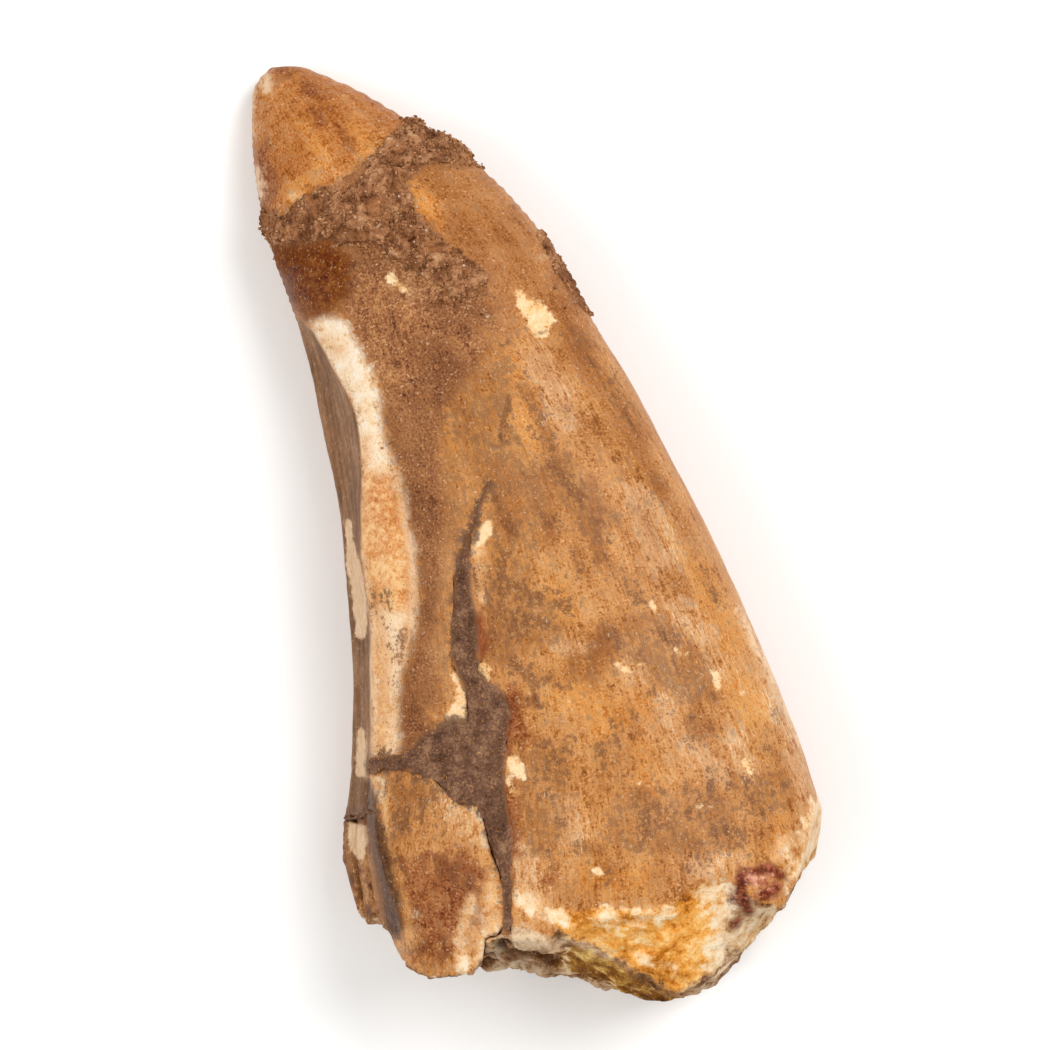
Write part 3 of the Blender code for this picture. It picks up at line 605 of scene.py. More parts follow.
# %% Crown: relief
SERRATION = 8.6         # picture pixels from one worn serration to the next
FINE_CRACK = [[(509, 396, 1.2), (508, 409, 1.4), (503, 419, 1.8), (501, 437, 1.2)],
              [(490, 480, 0.8), (484, 490, 1.4), (476, 504, 1.6), (469, 534, 2.2), (463, 561, 2.6)],
              [(497, 347, 0.5), (518, 338, 0.7), (548, 330, 0.5)],
              [(508, 880, 1.2), (508, 912, 1.2), (508, 932, 2)]]
crown_co, crown_normals = places(crown), facings(crown)
crown_xy = in_picture(crown_co)
crack = np.max([under_stroke(crown_xy, stroke) for stroke in FINE_CRACK], axis=0)
crack = np.where(crown_normals[:, 2] > 0.0, np.clip(crack / 10.0, -3.0, 3.0), -3.0)
keep_field(crown, "crack", crack)
broken = rise(-crown_normals[:, 1], 0.30, 0.50) * rise(-crown_co[:, 1], 20.0 * MM, 24.0 * MM)
keep_field(crown, "broken", broken)

whole = 1.0 - broken
for name, height, weights in (
    ("sunk_dentine", -0.10, whole * rise(crown_fields["bare"], -0.2, 0.25)),
    ("hollowed", -0.75, rise(crown_fields["hollow"], -0.5, 0.4)),
    ("pitted", -0.40, rise(crown_fields["pits_with_painted_shade"], -0.3, 0.2)),
    ("ledge", 0.30, broken * rise(crown_fields["lip"], -0.2, 0.8)),
    ("valley_cut", -0.30, rise(crown_fields["valley"], -0.4, 0.4)),
    ("open_crack", -0.14, whole * rise(crack, -0.2, 0.1)),
):
    push(crown, name, height * MM, weights)
sideways = 1.0 - rise(np.abs(crown_normals[:, 2]), 0.35, 0.7)
upper = rise(-crown_xy[:, 1], -350.0, -300.0)
ripple = 0.5 + 0.5 * np.cos(2 * math.pi * crown_xy[:, 1] / SERRATION)
push(crown, "serrated_edges", 0.16 * MM, sideways * upper * ripple, level=0.4)
off_table = rise(crown_co[:, 2], 1.0 * MM, 4.0 * MM)
roughen(crown, lumps("slow_waves", 5.0 * MM), 0.30 * MM, 0.8 * whole * off_table)
roughen(crown, lumps("splinters", 2.2 * MM, depth=3), 1.2 * MM, broken)
roughen(crown, lumps("torn_fibres", 0.8 * MM, depth=2), 0.35 * MM, broken)
print("crown carved")

# %% [markdown]
# ## Slab, chip and sediment
# The slab and the chip are made as the crown is, with a finer skin because they are small. The sediment
# is swollen until it fills the crack from wall to wall. On the real tooth it also laps over the edges
# of the crack. A grid is dropped onto the tooth along the lines of sight, as a cloth would fall, gets a
# thickness, and is melted into the same piece, so that no seam or gap is left between them.

# %% Slab and chip
slab = rough_copy("base_slab_front", "base_slab")
chip = rough_copy("base_chip_rear", "base_chip")
for piece in (slab, chip):
    piece_edges = fine_skin(piece, 0.2 * MM, 20, keep=0.9 * MM)
    modify(piece, "DISPLACE", strength=SWELL, mid_level=0.0)
    piece_fields = paint_marks(piece)
    piece_co, piece_normals = places(piece), facings(piece)
    piece_broken = rise(-piece_normals[:, 1], 0.35, 0.6) * rise(-piece_co[:, 1], 28.0 * MM, 32.0 * MM)
    keep_field(piece, "broken", piece_broken)
    keep_field(piece, "crack", np.full(len(piece_co), -3.0))
    roughen(piece, lumps(piece.name + "_waves", 3.5 * MM), 0.22 * MM, np.full(len(piece_co), 0.8))
    roughen(piece, lumps(piece.name + "_splinters", 1.2 * MM, depth=4), 0.8 * MM, piece_broken)
    roughen(piece, lumps(piece.name + "_edge_wear", 0.6 * MM, depth=3), 0.25 * MM,
            1.0 - rise(piece_edges, 0.2 * MM, 0.8 * MM))


# %% Finding the surface under a place of the picture
def skin_tree(pieces):
    """The skins of these pieces as one, to look places up on."""
    co, faces = [], []
    for piece in pieces:
        start = len(co)
        co += [v.co.copy() for v in piece.data.vertices]
        faces += [[start + k for k in polygon.vertices] for polygon in piece.data.polygons]
    return BVHTree.FromPolygons(co, faces)


def join(pieces):
    """Joins these pieces into the last one."""
    bpy.ops.object.select_all(action="DESELECT")
    for piece in pieces:
        piece.select_set(True)
    bpy.context.view_layer.objects.active = pieces[-1]
    bpy.ops.object.join()


# %% Sediment swollen to the walls of the crack
sediment = rough_copy("crack_sediment", "sediment")
modify(sediment, "REMESH", mode="VOXEL", voxel_size=0.16 * MM)
modify(sediment, "SMOOTH", factor=0.5, iterations=6)
modify(sediment, "DISPLACE", strength=0.36 * MM, mid_level=0.0)
tooth_skin = skin_tree([crown, slab, chip, sediment])


# %% Sediment smeared over the edges
def widest(heights, reach):
    """Each height of the grid raised to the highest within reach, so that a sheet bridges gaps."""
    for _ in range(reach):
        for axis in (0, 1):
            heights = np.maximum(heights, np.maximum(np.roll(heights, 1, axis), np.roll(heights, -1, axis)))
    return heights


FOOT = 0.10 * MM         # how far below the surface a sheet of sediment starts
SHEET = 0.6 * MM         # how thick the sheet is, mostly below the surface


def smear(name, outlines, strokes, thickness, spread=0.0, cell=0.17 * MM):
    """A skin of sediment over these outlines and strokes and this many pixels round them."""
    drawn = np.array([point[:2] for group in (*outlines, *strokes) for point in group], float)
    low, high = drawn.min(axis=0) - 12, drawn.max(axis=0) + 12
    columns, rows = (int(n) for n in (high - low) * PIXEL / cell)
    bpy.ops.object.select_all(action="DESELECT")
    bpy.ops.mesh.primitive_grid_add(x_subdivisions=columns, y_subdivisions=rows, size=1.0)
    sheet = bpy.context.active_object
    sheet.name = name
    co = places(sheet)
    xy = low + (np.stack([co[:, 0], -co[:, 1]], axis=1) + 0.5) * (high - low)
    depth = np.max([inside_by(xy, o) for o in outlines] + [under_stroke(xy, t) for t in strokes], axis=0)
    depth += [spread + 4.0 * noise.noise(Vector((x * 0.13, y * 0.13, 3.0))) for x, y in xy]
    found = [tooth_skin.ray_cast(EYE, sight_line(x, y))[0] for x, y in xy]
    heights = np.array([spot.z if spot else 0.0 for spot in found]).reshape(rows + 1, columns + 1)
    bridged = widest(heights, 2).ravel()
    for vertex, (x, y), height, inside in zip(sheet.data.vertices, xy, bridged, depth):
        ray = sight_line(x, y)
        lifted = height - FOOT + thickness * min(max(inside, 0.0) / 4.0, 1.0)
        vertex.co = EYE + ray * ((lifted - EYE.z) / ray.z)
    shape = bmesh.new()
    shape.from_mesh(sheet.data)
    shape.verts.ensure_lookup_table()
    lost = [shape.verts[k] for k in np.flatnonzero((depth < -1.0) | (bridged < 0.5 * MM))]
    bmesh.ops.delete(shape, geom=lost, context="VERTS")
    shape.to_mesh(sheet.data)
    shape.free()
    modify(sheet, "SMOOTH", factor=0.5, iterations=4)
    modify(sheet, "SOLIDIFY", thickness=SHEET, offset=-1.0)
    return sheet


BELOW_CRACK = [(508, 860, 3), (507, 900, 2.2), (506, 930, 2)]
ACROSS_WALL = [(346, 817, 3), (356, 818, 3), (366, 812, 3), (374, 812, 2.5)]
smears = [
    smear("smear_over_crack", [SEDIMENT], [], 0.17 * MM, spread=5.5),
    smear("smear_below_crack", [], [BELOW_CRACK], 0.16 * MM, spread=4.5),
    smear("smear_over_slab_edge", [], [SLAB_EDGE], 0.12 * MM, spread=2.0),
    smear("smear_across_wall", [], [ACROSS_WALL], 0.25 * MM),
]
join([*smears, sediment])
modify(sediment, "REMESH", mode="VOXEL", voxel_size=0.16 * MM)
modify(sediment, "SMOOTH", factor=0.5, iterations=3)
all_over = np.ones(len(sediment.data.vertices))
roughen(sediment, lumps("mud_lumps", 1.5 * MM, depth=3), 0.26 * MM, all_over)
roughen(sediment, lumps("mud_grit", 0.38 * MM, depth=2), 0.24 * MM, all_over)
only(sediment)
bpy.ops.object.shade_smooth()
paint_marks(sediment)
print(f"sediment: {len(sediment.data.polygons)} quads")

# %% [markdown]
# ## Sand crust
# Sand from the rock sticks to the crown in a lumpy band below the tip and in a small patch on the outer
# edge. The crusts are sunk until they touch the enamel and broken up into crumbs by two patterns. Loose
# grains are modelled once, as a small chipped ball, and copied a few thousand times onto the crust,
# thinning out over the enamel around it.

# %% Crusts
DRAWN_DOWN = 0.42 * MM   # how far at most a crust sinks to touch the enamel
BURIED = 1.6 * MM        # how far it sinks where the real enamel is free of sand
crusts = {}
for node, name in (("sand_crust_band", "sand_band"), ("sand_crust_edge", "sand_patch")):
    piece = rough_copy(node, name)
    modify(piece, "REMESH", mode="VOXEL", voxel_size=0.13 * MM)
    tree = skin_tree([crown])
    buried = rise(inside_by(in_picture(places(piece)), LIVER), -3.0, 3.0) * BURIED
    for vertex, deeper in zip(piece.data.vertices, buried):
        spot, normal, _, away = tree.find_nearest(vertex.co)
        vertex.co -= normal * (min(away + 0.03 * MM, DRAWN_DOWN) + deeper)
    modify(piece, "SMOOTH", factor=0.5, iterations=8)
    flat = places(piece)
    all_over = np.ones(len(flat))
    roughen(piece, lumps(name + "_clods", 1.6 * MM, depth=1), 0.95 * MM, all_over, level=0.55)
    roughen(piece, lumps(name + "_crumbs", 0.62 * MM, depth=2), 0.62 * MM, all_over)
    roughen(piece, lumps(name + "_grit", 0.28 * MM, depth=1), 0.20 * MM, all_over)
    # lift: how far each point of the crust was pushed out; the sand finish paints low places darker and
    # high places lighter from it, as painted shade and light.
    lift = ((places(piece) - flat) * facings(piece)).sum(axis=1)
    keep_field(piece, "lift", lift / (0.25 * MM))
    only(piece)
    bpy.ops.object.shade_smooth()
    crusts[name] = piece
    print(f"{name}: {len(piece.data.polygons)} quads")

# %% One grain, copied onto the crust
bpy.ops.object.select_all(action="DESELECT")
bpy.ops.mesh.primitive_ico_sphere_add(subdivisions=1, radius=1.0)
grain = bpy.context.active_object
grain_co = places(grain)
grain_faces = np.array([list(p.vertices) for p in grain.data.polygons])
bpy.data.objects.remove(grain)
chance = np.random.default_rng(11)


def scatter(name, spots, normals, sizes):
    """Copies of the grain at these spots, each turned, stretched and chipped its own way, as one mesh."""
    count = len(spots)
    turns = chance.normal(size=(count, 3, 3))
    turns, _ = np.linalg.qr(turns)
    stretch = chance.uniform(0.6, 1.25, (count, 1, 3)) * sizes[:, None, None]
    chips = grain_co[None] * chance.uniform(0.75, 1.15, (count, len(grain_co), 1))
    solid = np.einsum("nij,nkj->nki", turns, chips * stretch)
    solid += (spots + normals * sizes[:, None] * 0.35)[:, None]
    flip = np.linalg.det(turns) < 0
    faces = grain_faces[None] + (np.arange(count) * len(grain_co))[:, None, None]
    faces[flip] = faces[flip][:, :, ::-1]
    mesh = bpy.data.meshes.new(name)
    mesh.from_pydata(solid.reshape(-1, 3).tolist(), [], faces.reshape(-1, 3).tolist())
    made = bpy.data.objects.new(name, mesh)
    bpy.context.scene.collection.objects.link(made)
    keep_field(made, "tint", np.repeat(chance.uniform(0.0, 1.0, count), len(grain_co)))
    return made


def spots_on(piece, count, weights):
    """Random vertices of a piece, more of them where the weights are high, with the way each faces."""
    share = np.clip(weights, 0.0, None)
    picked = chance.choice(len(share), count, p=share / share.sum())
    jitter = chance.normal(0.0, 0.08 * MM, (count, 3))
    return places(piece)[picked] + jitter, facings(piece)[picked]


def outward(piece):
    """1 where a crust's skin faces away from the crown, 0 where it faces the crown."""
    tree = skin_tree([crown])
    normals = facings(piece)
    away = np.array([tree.find_nearest(v.co)[1] for v in piece.data.vertices])
    return rise((normals * away).sum(axis=1), 0.0, 0.3)


fringe = np.maximum(inside_by(crown_xy, SAND_BAND), -20.0)
dusty = np.max([under_stroke(crown_xy, stroke) for stroke in MARKS["sandy"][1]], axis=0)
facing_up = rise(crown_normals[:, 2], -0.4, 0.0)
sprinkle = facing_up * (1.4 * rise(fringe, -10.0, 2.0) + 0.9 * rise(dusty, -12.0, 6.0)
                        + 0.06 * rise(crown_fields["dust"], -0.5, 0.5))
sprinkle = sprinkle * (1.0 - rise(crown_fields["liver"], -0.5, 0.3))

LOOSE = 1500            # grains strewn over the enamel around the band
for name, count in (("sand_band", 4500), ("sand_patch", 320)):
    spots, normals = spots_on(crusts[name], count, outward(crusts[name]))
    made = [scatter(name + "_grains", spots, normals, (0.05 + 0.13 * chance.random(count) ** 3) * MM)]
    if name == "sand_band":
        spots, normals = spots_on(crown, LOOSE, sprinkle)
        made.append(scatter("loose_grains", spots, normals, (0.04 + 0.16 * chance.random(LOOSE) ** 4) * MM))
    keep_field(crusts[name], "tint", np.full(len(crusts[name].data.vertices), -1.0))
    join([*made, crusts[name]])
    print(f"{name}: {len(crusts[name].data.polygons)} faces with its grains")

# %% [markdown]
# ## Finishes
# Each finish is a tree of shader nodes. A layer is laid on with a share that comes from a mark's number
# plus noise, pushed through a soft step. So a stain has a clear body and a frayed border. Colours are
# written as they look in the picture and turned into the linear values that light is reckoned in.


# %% Shorthand for shader nodes
EXPOSURE = 1.19     # how much brighter than its own colour a surface looks under these lights
SHINE = 0.018       # the white light that a soft gloss lays over every colour


def tone(red, green, blue):
    """The colour of a skin that looks like this, 0 to 255, in the picture."""
    seen = [((c / 255 + 0.055) / 1.055) ** 2.4 for c in (red, green, blue)]
    return tuple(max(c - SHINE, 0.12 * c) / EXPOSURE for c in seen) + (1.0,)


class Finish:
    """A material that is built up node by node."""

    def __init__(self, name):
        self.material = bpy.data.materials.new(name)
        self.material.use_nodes = True
        self.tree = self.material.node_tree
        self.shader = self.tree.nodes["Principled BSDF"]
        self.place = self.add("TexCoord").outputs["Object"]

    def add(self, kind, inputs=None, **settings):
        made = self.tree.nodes.new("ShaderNode" + kind)
        for setting, value in settings.items():
            setattr(made, setting, value)
        for key, value in (inputs or {}).items():
            self.give(made.inputs[key], value)
        return made

    def give(self, socket, value):
        if isinstance(value, bpy.types.NodeSocket):
            self.tree.links.new(value, socket)
        else:
            socket.default_value = value

    def mark(self, name):
        return self.add("Attribute", attribute_name=name).outputs["Fac"]

    def math(self, operation, a, b=0.0):
        return self.add("Math", {0: a, 1: b}, operation=operation).outputs[0]

    def pattern(self, scale, detail=3.0, roughness=0.5, vector=None):
        """Noise from 0 to 1 around one half; scale is in cells per metre, or per millimetre of growth."""
        inputs = {"Vector": vector or self.place, "Scale": scale, "Detail": detail, "Roughness": roughness}
        return self.add("TexNoise", inputs).outputs["Fac"]

    def step(self, value, low, high):
        """0 below low, 1 above high, with a soft step between."""
        inputs = {"Value": value, "From Min": low, "From Max": high}
        return self.add("MapRange", inputs, interpolation_type="SMOOTHSTEP").outputs["Result"]

    def total(self, parts, start=0.0):
        """Patterns added up by weight."""
        for pattern, weight in parts:
            start = self.add("Math", {0: pattern, 1: weight, 2: start}, operation="MULTIPLY_ADD").outputs[0]
        return start

    def blend(self, parts, middle=0.0):
        """The same, with each pattern swinging round zero and their sum round this middle value."""
        swings = [(self.math("SUBTRACT", pattern, 0.5), weight) for pattern, weight in parts]
        return self.total(swings, middle)

    def times(self, first, *others):
        for other in others:
            first = self.math("MULTIPLY", first, other)
        return first

    def largest(self, first, *others):
        for other in others:
            first = self.math("MAXIMUM", first, other)
        return first

    def share(self, name, pattern, fray, most, soft=0.45, shift=0.0, deepest=3.0):
        """How much of a mark covers the skin: its number, with a border frayed by the pattern."""
        number = self.math("MINIMUM", self.mark(name), deepest)
        frayed = self.total([(pattern, fray)], number)
        return self.times(self.step(frayed, shift - soft, shift + soft), most)

    def mix(self, share, below, above):
        return self.add("Mix", {0: share, 6: below, 7: above}, data_type="RGBA").outputs[2]

    def stain(self, share, below, filter_colour):
        """Darkens what is there through a coloured filter, so that its own grain still shows."""
        inputs = {0: share, 6: below, 7: filter_colour}
        return self.add("Mix", inputs, data_type="RGBA", blend_type="MULTIPLY").outputs[2]

    def coat(self, below, share, pattern, *stops):
        """Lays colours picked by a pattern over what is there."""
        return self.mix(share, below, self.ramp(pattern, *stops))

    def number(self, share, below, above):
        return self.add("Mix", {0: share, 2: below, 3: above}, data_type="FLOAT").outputs[0]

    def ramp(self, share, *stops):
        """Colours picked by a number: each stop is its place and how red, green and blue it looks."""
        made = self.add("ValToRGB", {0: share})
        points = made.color_ramp.elements
        while len(points) < len(stops):
            points.new(0.5)
        for point, (position, *seen) in zip(points, stops):
            point.position = position
            point.color = tone(*seen)
        return made.outputs["Color"]

    def finish(self, colour, roughness, height, depth):
        self.give(self.shader.inputs["Base Color"], colour)
        self.give(self.shader.inputs["Roughness"], roughness)
        bump = self.add("Bump", {"Height": height, "Distance": depth, "Strength": 1.0})
        self.give(self.shader.inputs["Normal"], bump.outputs["Normal"])


# %% Patterns of the tooth
tooth = Finish("stained_enamel_and_dentine")
growth = tooth.add("Attribute", attribute_name="growth").outputs["Vector"]
short_growth = tooth.add("VectorMath", {0: growth, 1: (1.0, 2.8, 1.0)}, operation="MULTIPLY").outputs[0]
broad_streak = tooth.pattern(0.30, 3.0, 0.55, growth)
streak = tooth.pattern(1.3, 4.0, 0.6, growth)
fibre = tooth.pattern(4.5, 3.0, 0.6, growth)
dash = tooth.pattern(1.5, 5.0, 0.68, short_growth)
scratch = tooth.pattern(6.0, 2.0, 0.5, short_growth)
cloud = tooth.pattern(190.0, 5.0, 0.6)
blotch = tooth.pattern(620.0, 5.0, 0.62)
crumb = tooth.pattern(1900.0, 4.0, 0.6)
speck = tooth.pattern(5200.0, 2.0, 0.5)
hair = tooth.pattern(3400.0, 1.0, 0.5)
fray = tooth.blend([(blotch, 3.5), (crumb, 3.0), (speck, 1.0)])
grit = tooth.blend([(blotch, 2.5), (crumb, 4.0), (speck, 3.0)])
drift = tooth.blend([(cloud, 2.5), (blotch, 5.0), (crumb, 1.2)])
comb = tooth.blend([(dash, 5.0), (blotch, 2.0), (fibre, 1.5), (crumb, 1.2)])
mottle = tooth.blend([(dash, 4.0), (blotch, 3.5), (crumb, 5.0), (speck, 3.5)])

# %% Enamel, and the washes of colour in it
tan = tooth.blend([(cloud, 0.35), (blotch, 0.40), (dash, 0.50), (broad_streak, 0.20), (fibre, 0.25),
                   (crumb, 0.44), (speck, 0.44)], 0.5)
colour = tooth.ramp(tan, (0.28, 134, 82, 46), (0.41, 178, 118, 68), (0.50, 203, 143, 88),
                    (0.59, 217, 162, 107), (0.74, 244, 204, 154))
# The pale wash is partly painted sheen: lighter enamel streaks together with a broad painted highlight on
# the crown's right.
WASHES = (
    ("brown", comb, 1.0, 0.75, (112, 64, 34), (162, 102, 60), (202, 144, 94)),
    ("orange", drift, 0.8, 0.85, (138, 74, 30), (192, 120, 64), (234, 182, 130)),
    ("amber", drift, 1.0, 0.70, (180, 106, 48), (212, 144, 78), (236, 178, 112)),
    ("pale_streaks_and_sheen", comb, 1.2, 0.65, (184, 128, 86), (220, 170, 122), (250, 220, 182)),
    ("film", mottle, 1.4, 0.50, (112, 72, 46), (164, 114, 74), (204, 152, 106)),
)
for name, pattern, fray_by, most, dark, middle, light in WASHES:
    own = tooth.ramp(tan, (0.32, *dark), (0.5, *middle), (0.68, *light))
    colour = tooth.mix(tooth.share(name, pattern, fray_by, most, soft=0.7, deepest=0.7), colour, own)

# %% Dust, rust and glossy red-brown
dust_tone = tooth.blend([(cloud, 0.4), (blotch, 0.5), (crumb, 0.5), (speck, 0.8), (dash, 0.3)], 0.5)
dust = tooth.share("dust", grit, 1.0, 0.88, soft=0.7)
colour = tooth.coat(colour, dust, dust_tone, (0.26, 86, 56, 46), (0.42, 132, 88, 65), (0.53, 160, 108, 74),
                    (0.64, 184, 128, 86), (0.78, 208, 154, 106))
sandy = tooth.share("sandy", grit, 1.1, 0.9, soft=0.6)
colour = tooth.coat(colour, sandy, dust_tone, (0.28, 92, 60, 42), (0.5, 148, 100, 70),
                    (0.72, 200, 152, 112))
rust = tooth.share("rust", drift, 1.3, 0.92, soft=0.6)
rust_tone = tooth.blend([(cloud, 0.4), (blotch, 0.7), (crumb, 0.7), (speck, 0.5)], 0.5)
colour = tooth.coat(colour, rust, rust_tone, (0.3, 84, 40, 22), (0.44, 126, 68, 40), (0.55, 156, 94, 58),
                    (0.7, 200, 138, 88))
liver = tooth.share("liver", grit, 0.9, 1.0, soft=0.9, shift=0.0)
colour = tooth.coat(colour, liver, rust_tone, (0.3, 78, 38, 18), (0.5, 118, 66, 34), (0.7, 152, 96, 54))
underside = tooth.mix(cloud, tone(150, 100, 62), tone(214, 158, 104))
colour = tooth.mix(tooth.times(tooth.mark("below"), 0.35), colour, underside)

# %% Bare dentine of the ridge
bone_tone = tooth.blend([(cloud, 0.4), (blotch, 0.8), (crumb, 0.5), (speck, 0.3)], 0.5)
strip = tooth.share("strip", fray, 0.5, 1.0, soft=0.7)
colour = tooth.coat(colour, strip, bone_tone, (0.25, 214, 160, 110), (0.38, 242, 206, 162),
                    (0.5, 249, 222, 188), (0.64, 252, 236, 214))
apricot = tooth.share("apricot", drift, 0.8, 0.75, soft=0.7)
colour = tooth.coat(colour, apricot, bone_tone, (0.3, 196, 124, 72), (0.42, 224, 162, 104),
                    (0.55, 240, 192, 138), (0.68, 252, 222, 184))
honey = tooth.times(tooth.share("honey", drift, 1.0, 0.85, soft=0.8), strip)
colour = tooth.coat(colour, honey, bone_tone, (0.3, 176, 98, 44), (0.46, 216, 142, 78),
                    (0.62, 243, 194, 134))

# %% Dark stains over enamel, dust and dentine alike
enamel = tooth.math("SUBTRACT", 1.0, tooth.largest(strip, dust))
natural = tooth.times(tooth.step(mottle, 0.0, 1.3), 0.62, enamel)
filmed = tooth.times(tooth.share("film", mottle, 1.7, 0.60, soft=0.6, shift=0.6, deepest=0.5), enamel)
halo = tooth.share("dark", mottle, 1.5, 0.50, soft=0.5, shift=0.1, deepest=0.5)
core = tooth.share("dark", mottle, 1.5, 0.85, soft=0.5, shift=0.55, deepest=0.5)
core = tooth.times(core, tooth.number(dust, 1.0, 0.55))
stained = tooth.largest(natural, filmed, halo, core)
stain_tone = tooth.ramp(tooth.blend([(crumb, 0.8), (speck, 0.8)], 0.5), (0.35, 74, 42, 26),
                        (0.65, 140, 92, 60))
colour = tooth.mix(stained, colour, stain_tone)

# %% Chips, the side wall with painted shade, its white patches, painted valley shade and rim highlights
bare = tooth.share("bare", fray, 0.35, 1.0, soft=0.2)
colour = tooth.coat(colour, bare, bone_tone, (0.30, 190, 124, 66), (0.39, 232, 180, 120),
                    (0.5, 243, 202, 150), (0.66, 250, 218, 176))
# Partly painted shade: the wall's brown is darkened to stand for the shade on the side turned away from the
# light.
wall_with_painted_shade = tooth.share("wall_with_painted_shade", comb, 0.05, 1.0, soft=0.15)
wall_tone_with_painted_shade = tooth.blend([(streak, 0.6), (cloud, 0.5), (fibre, 0.3), (crumb, 0.3)], 0.5)
colour = tooth.coat(colour, wall_with_painted_shade, wall_tone_with_painted_shade, (0.34, 104, 70, 44), (0.5, 138, 98, 68), (0.66, 170, 128, 94))
chip_brown = tooth.times(tooth.share("chip_brown", fray, 0.3, 1.0), wall_with_painted_shade)
colour = tooth.coat(colour, chip_brown, bone_tone, (0.3, 98, 60, 32), (0.45, 136, 88, 52),
                    (0.56, 166, 114, 70), (0.7, 200, 152, 104))
white = tooth.share("wall_white", fray, 0.2, 1.0, soft=0.15)
white_tone = tooth.blend([(fibre, 1.2), (crumb, 0.8)], 0.5)
colour = tooth.mix(white, colour, tooth.mix(white_tone, tone(190, 142, 98), tone(246, 216, 180)))
# Painted shade: the valley between chip and slab is painted near black-brown, standing for the shadow in
# it.
valley_tone = tooth.ramp(crumb, (0.35, 56, 32, 16), (0.65, 108, 70, 42))
colour = tooth.mix(tooth.share("valley", fray, 0.4, 0.9), colour, valley_tone)
# Painted highlight: a pale cream laid along the rims of the crown where light catches them.
colour = tooth.mix(tooth.share("painted_rim_highlight", fray, 0.5, 0.8, soft=0.5), colour, tone(240, 206, 168))

# %% The break, with painted shade in the hollow and the pits
broken = tooth.step(tooth.total([(crumb, 0.3)], tooth.mark("broken")), 0.5, 0.75)
break_tone = tooth.blend([(cloud, 0.7), (blotch, 1.0), (crumb, 0.35), (speck, 0.2)], 0.5)
colour = tooth.coat(colour, broken, break_tone, (0.28, 96, 62, 40), (0.42, 150, 110, 78),
                    (0.55, 196, 158, 122), (0.70, 236, 210, 180))
gold = tooth.share("gold", fray, 0.5, 1.0, soft=0.3)
colour = tooth.coat(colour, gold, break_tone, (0.24, 132, 72, 26), (0.36, 192, 118, 48),
                    (0.46, 228, 154, 72), (0.56, 242, 178, 98), (0.66, 249, 206, 142),
                    (0.78, 253, 228, 182))
olive = tooth.share("olive", fray, 0.6, 0.9, soft=0.4)
colour = tooth.coat(colour, olive, break_tone, (0.3, 92, 56, 22), (0.46, 142, 92, 38), (0.58, 190, 140, 62),
                    (0.72, 236, 200, 120))
lip = tooth.share("lip", fray, 0.45, 0.95, soft=0.3)
colour = tooth.coat(colour, lip, break_tone, (0.3, 128, 90, 64), (0.46, 186, 148, 112),
                    (0.62, 226, 198, 164))
cream = tooth.share("cream_break", drift, 1.2, 0.85, soft=0.7)
colour = tooth.coat(colour, cream, break_tone, (0.28, 178, 118, 66), (0.42, 222, 170, 112),
                    (0.54, 242, 206, 160), (0.7, 251, 230, 198))
maroon = tooth.share("maroon", fray, 0.5, 0.95, soft=0.35)
colour = tooth.coat(colour, maroon, crumb, (0.36, 76, 30, 22), (0.5, 112, 52, 38), (0.66, 176, 102, 78))
pink = tooth.share("pink", fray, 0.5, 0.9, soft=0.4)
colour = tooth.coat(colour, pink, crumb, (0.36, 168, 92, 76), (0.52, 204, 138, 112), (0.66, 232, 180, 152))
# Painted shade: the hollow under the lip and the pits are painted dark brown, standing for the shadow
# inside them.
dark_hollow = tooth.largest(tooth.share("hollow", fray, 0.3, 0.95), tooth.share("pits_with_painted_shade", fray, 0.3, 0.7))
colour = tooth.mix(dark_hollow, colour, tone(74, 48, 30))

# %% Mud, cracks, the finest specks and painted glints
muddy = tooth.share("muddy", fray, 0.8, 0.95, soft=0.4, shift=-0.3)
colour = tooth.coat(colour, muddy, crumb, (0.35, 84, 60, 48), (0.65, 136, 102, 80))
crack_share = tooth.share("crack", fray, 0.3, 0.65, soft=0.16)
colour = tooth.mix(crack_share, colour, tone(120, 80, 58))
# Painted highlights: tiny pale glints, and pale dashes along the growth lines in the pale streaks, standing
# for light glancing off micro-bumps and fine scratches.
painted_glint = tooth.times(tooth.step(hair, 0.58, 0.70), tooth.step(speck, 0.50, 0.62))
painted_highlight_dash = tooth.times(tooth.step(scratch, 0.57, 0.70), tooth.step(cloud, 0.46, 0.62))
sheen_streak_area = tooth.share("pale_streaks_and_sheen", comb, 1.2, 0.55, soft=0.8, shift=-0.9)
painted_highlights = tooth.largest(tooth.times(painted_glint, 0.28), tooth.times(painted_highlight_dash, sheen_streak_area))
colour = tooth.mix(painted_highlights, colour, tone(252, 226, 192))
pepper = tooth.largest(tooth.step(speck, 0.38, 0.28), tooth.step(scratch, 0.40, 0.30))
colour = tooth.stain(tooth.times(pepper, 0.22), colour, tone(96, 60, 38))

# %% Gloss and relief of the tooth
powdery = tooth.largest(dust, sandy)
matt = tooth.largest(powdery, broken, gold, tooth.times(tooth.largest(bare, strip), 0.5))
gloss = tooth.total([(tooth.math("SUBTRACT", blotch, 0.5), 0.35)], tooth.number(matt, 0.42, 0.85))
coarse = tooth.times(tooth.math("SUBTRACT", crumb, 0.5), matt)
powder = tooth.times(tooth.math("SUBTRACT", hair, 0.5), powdery)
height = tooth.total([(fibre, 0.014), (streak, 0.008), (speck, 0.035), (coarse, 0.16), (powder, 0.12),
                      (crack_share, -0.10)])
tooth.finish(colour, gloss, height, 1.0 * MM)
tooth.shader.inputs["Specular IOR Level"].default_value = 0.09
print("tooth finish:", len(tooth.tree.nodes), "nodes")

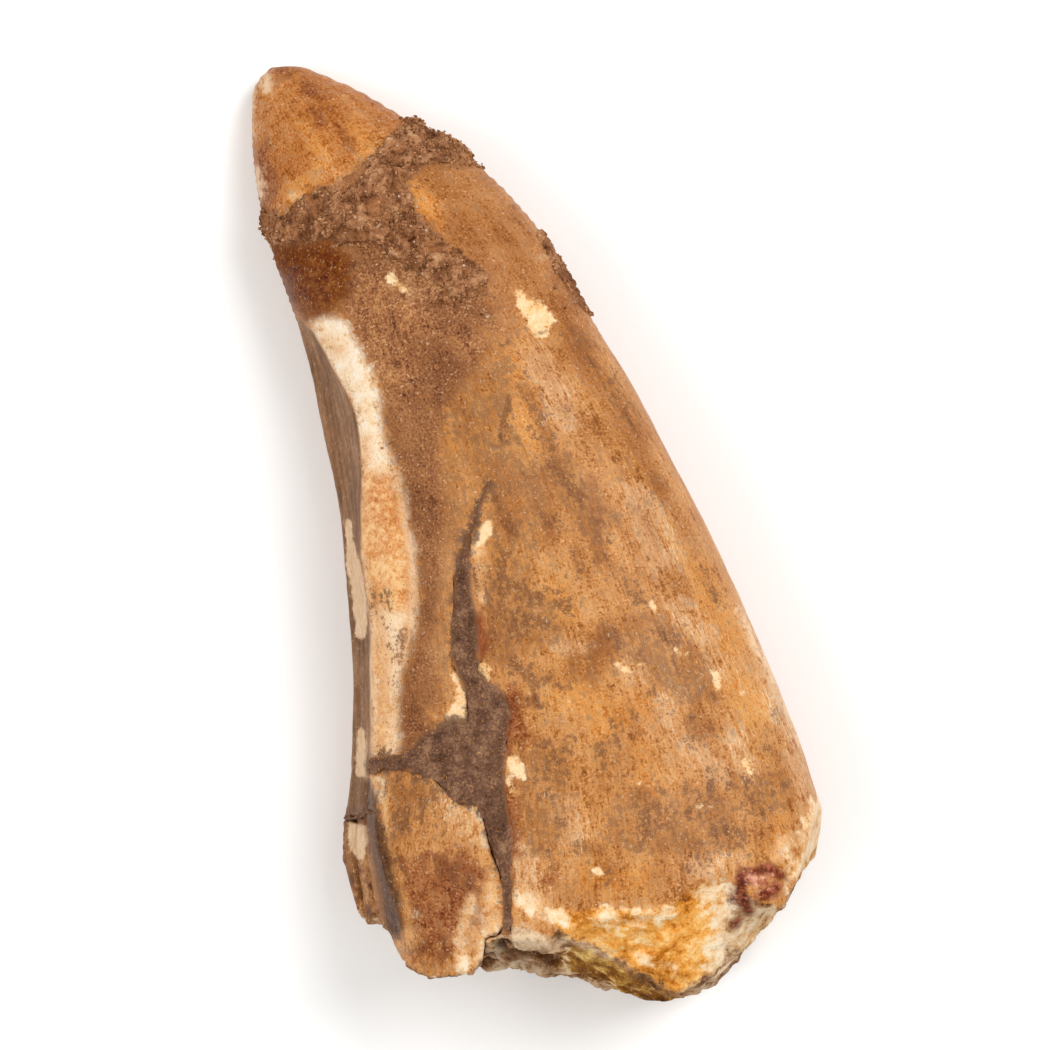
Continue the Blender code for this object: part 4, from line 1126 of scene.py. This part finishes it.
# %% Sediment
mud = Finish("dark_sediment")
mud_grit = mud.pattern(4200.0, 3.0, 0.6)
mud_patch = mud.pattern(700.0, 4.0, 0.6)
mud_tone = mud.blend([(mud_grit, 0.6), (mud_patch, 0.7)], 0.5)
mud_colour = mud.ramp(mud_tone, (0.32, 82, 59, 48), (0.5, 116, 85, 68), (0.66, 156, 118, 92))
mud_colour = mud.mix(mud.step(mud.pattern(6500.0, 1.0), 0.70, 0.74), mud_colour, tone(220, 150, 72))
mud_fray = mud.blend([(mud_patch, 4.0), (mud_grit, 3.0)])
film_colour = mud.ramp(mud_tone, (0.32, 146, 94, 60), (0.5, 190, 134, 88), (0.66, 222, 168, 118))
film_rust = mud.ramp(mud_tone, (0.32, 110, 56, 34), (0.5, 150, 86, 54), (0.66, 188, 122, 78))
film_colour = mud.mix(mud.share("rust", mud_fray, 0.5, 0.9, soft=0.5), film_colour, film_rust)
mud_colour = mud.mix(mud.share("muddy", mud_fray, 0.4, 1.0, soft=0.25, shift=-0.4), film_colour, mud_colour)
mud.finish(mud_colour, mud.number(mud_grit, 0.7, 0.95), mud_grit, 0.12 * MM)
mud.shader.inputs["Specular IOR Level"].default_value = 0.15

# %% Sand, with painted shade in its hollows
sand = Finish("cemented_sand")
sand_tint = sand.mark("tint")
sand_crumb = sand.pattern(3000.0, 5.0, 0.72)
sand_patch = sand.pattern(420.0, 3.0, 0.5)
sand_noise = sand.blend([(sand_crumb, 0.9), (sand_patch, 0.6)], 0.5)
# Painted shade: the sand's ground is darker where the skin was pushed in and lighter where it stands out,
# as shade in the hollows and light on the crumbs.
hollow_to_peak = sand.total([(sand.mark("lift"), 0.16)], sand_noise)
sand_ground = sand.ramp(hollow_to_peak, (0.12, 84, 50, 33), (0.34, 146, 97, 66), (0.52, 186, 130, 92),
                        (0.68, 210, 156, 114), (0.88, 232, 188, 146))
sand_grain = sand.ramp(sand_tint, (0.0, 122, 78, 50), (0.35, 168, 114, 78), (0.75, 200, 144, 102),
                       (0.95, 224, 172, 130), (1.0, 240, 214, 188))
sand_colour = sand.mix(sand.step(sand_tint, -0.5, -0.1), sand_ground, sand_grain)
sand_colour = sand.mix(sand.times(sand.step(sand_patch, 0.54, 0.66), 0.35), sand_colour, tone(188, 124, 74))
sand.finish(sand_colour, sand.number(sand_crumb, 0.75, 0.98), sand_crumb, 0.32 * MM)
sand.shader.inputs["Specular IOR Level"].default_value = 0.15

# %% [markdown]
# ## Putting the pieces in place
# Every piece replaces its solid and rides on the one body there is. The swelling and the relief carry
# the crown's skin up to 0.35 mm past the box of the solids, most of it on the side it lies on. What
# stands outside is pressed flat against the box's wall, so that the tooth rests on the table and not
# in it. The two boxes written below are equal because of this step.

# %% Pieces onto the body
low, high = (np.array(corner, float) for corner in cad_box)
for piece, node, slot, finish in (
    (crown, "crown", "stained_enamel", tooth),
    (slab, "base_slab_front", "slab_enamel", tooth),
    (chip, "base_chip_rear", "chip_enamel", tooth),
    (sediment, "crack_sediment", "dark_sediment", mud),
    (crusts["sand_band"], "sand_crust_band", "cemented_sand", sand),
    (crusts["sand_patch"], "sand_crust_edge", "cemented_sand", sand),
):
    kept = np.clip(places(piece), low, high)
    piece.data.vertices.foreach_set("co", kept.astype(np.float32).ravel())
    piece.data.update()
    piece.data.materials.clear()
    piece.data.materials.append(finish.material)
    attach(piece, "root")
    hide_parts(node)
    triangles = sum(len(p.vertices) - 2 for p in piece.data.polygons)
    print(f"{piece.name}: {triangles} triangles")
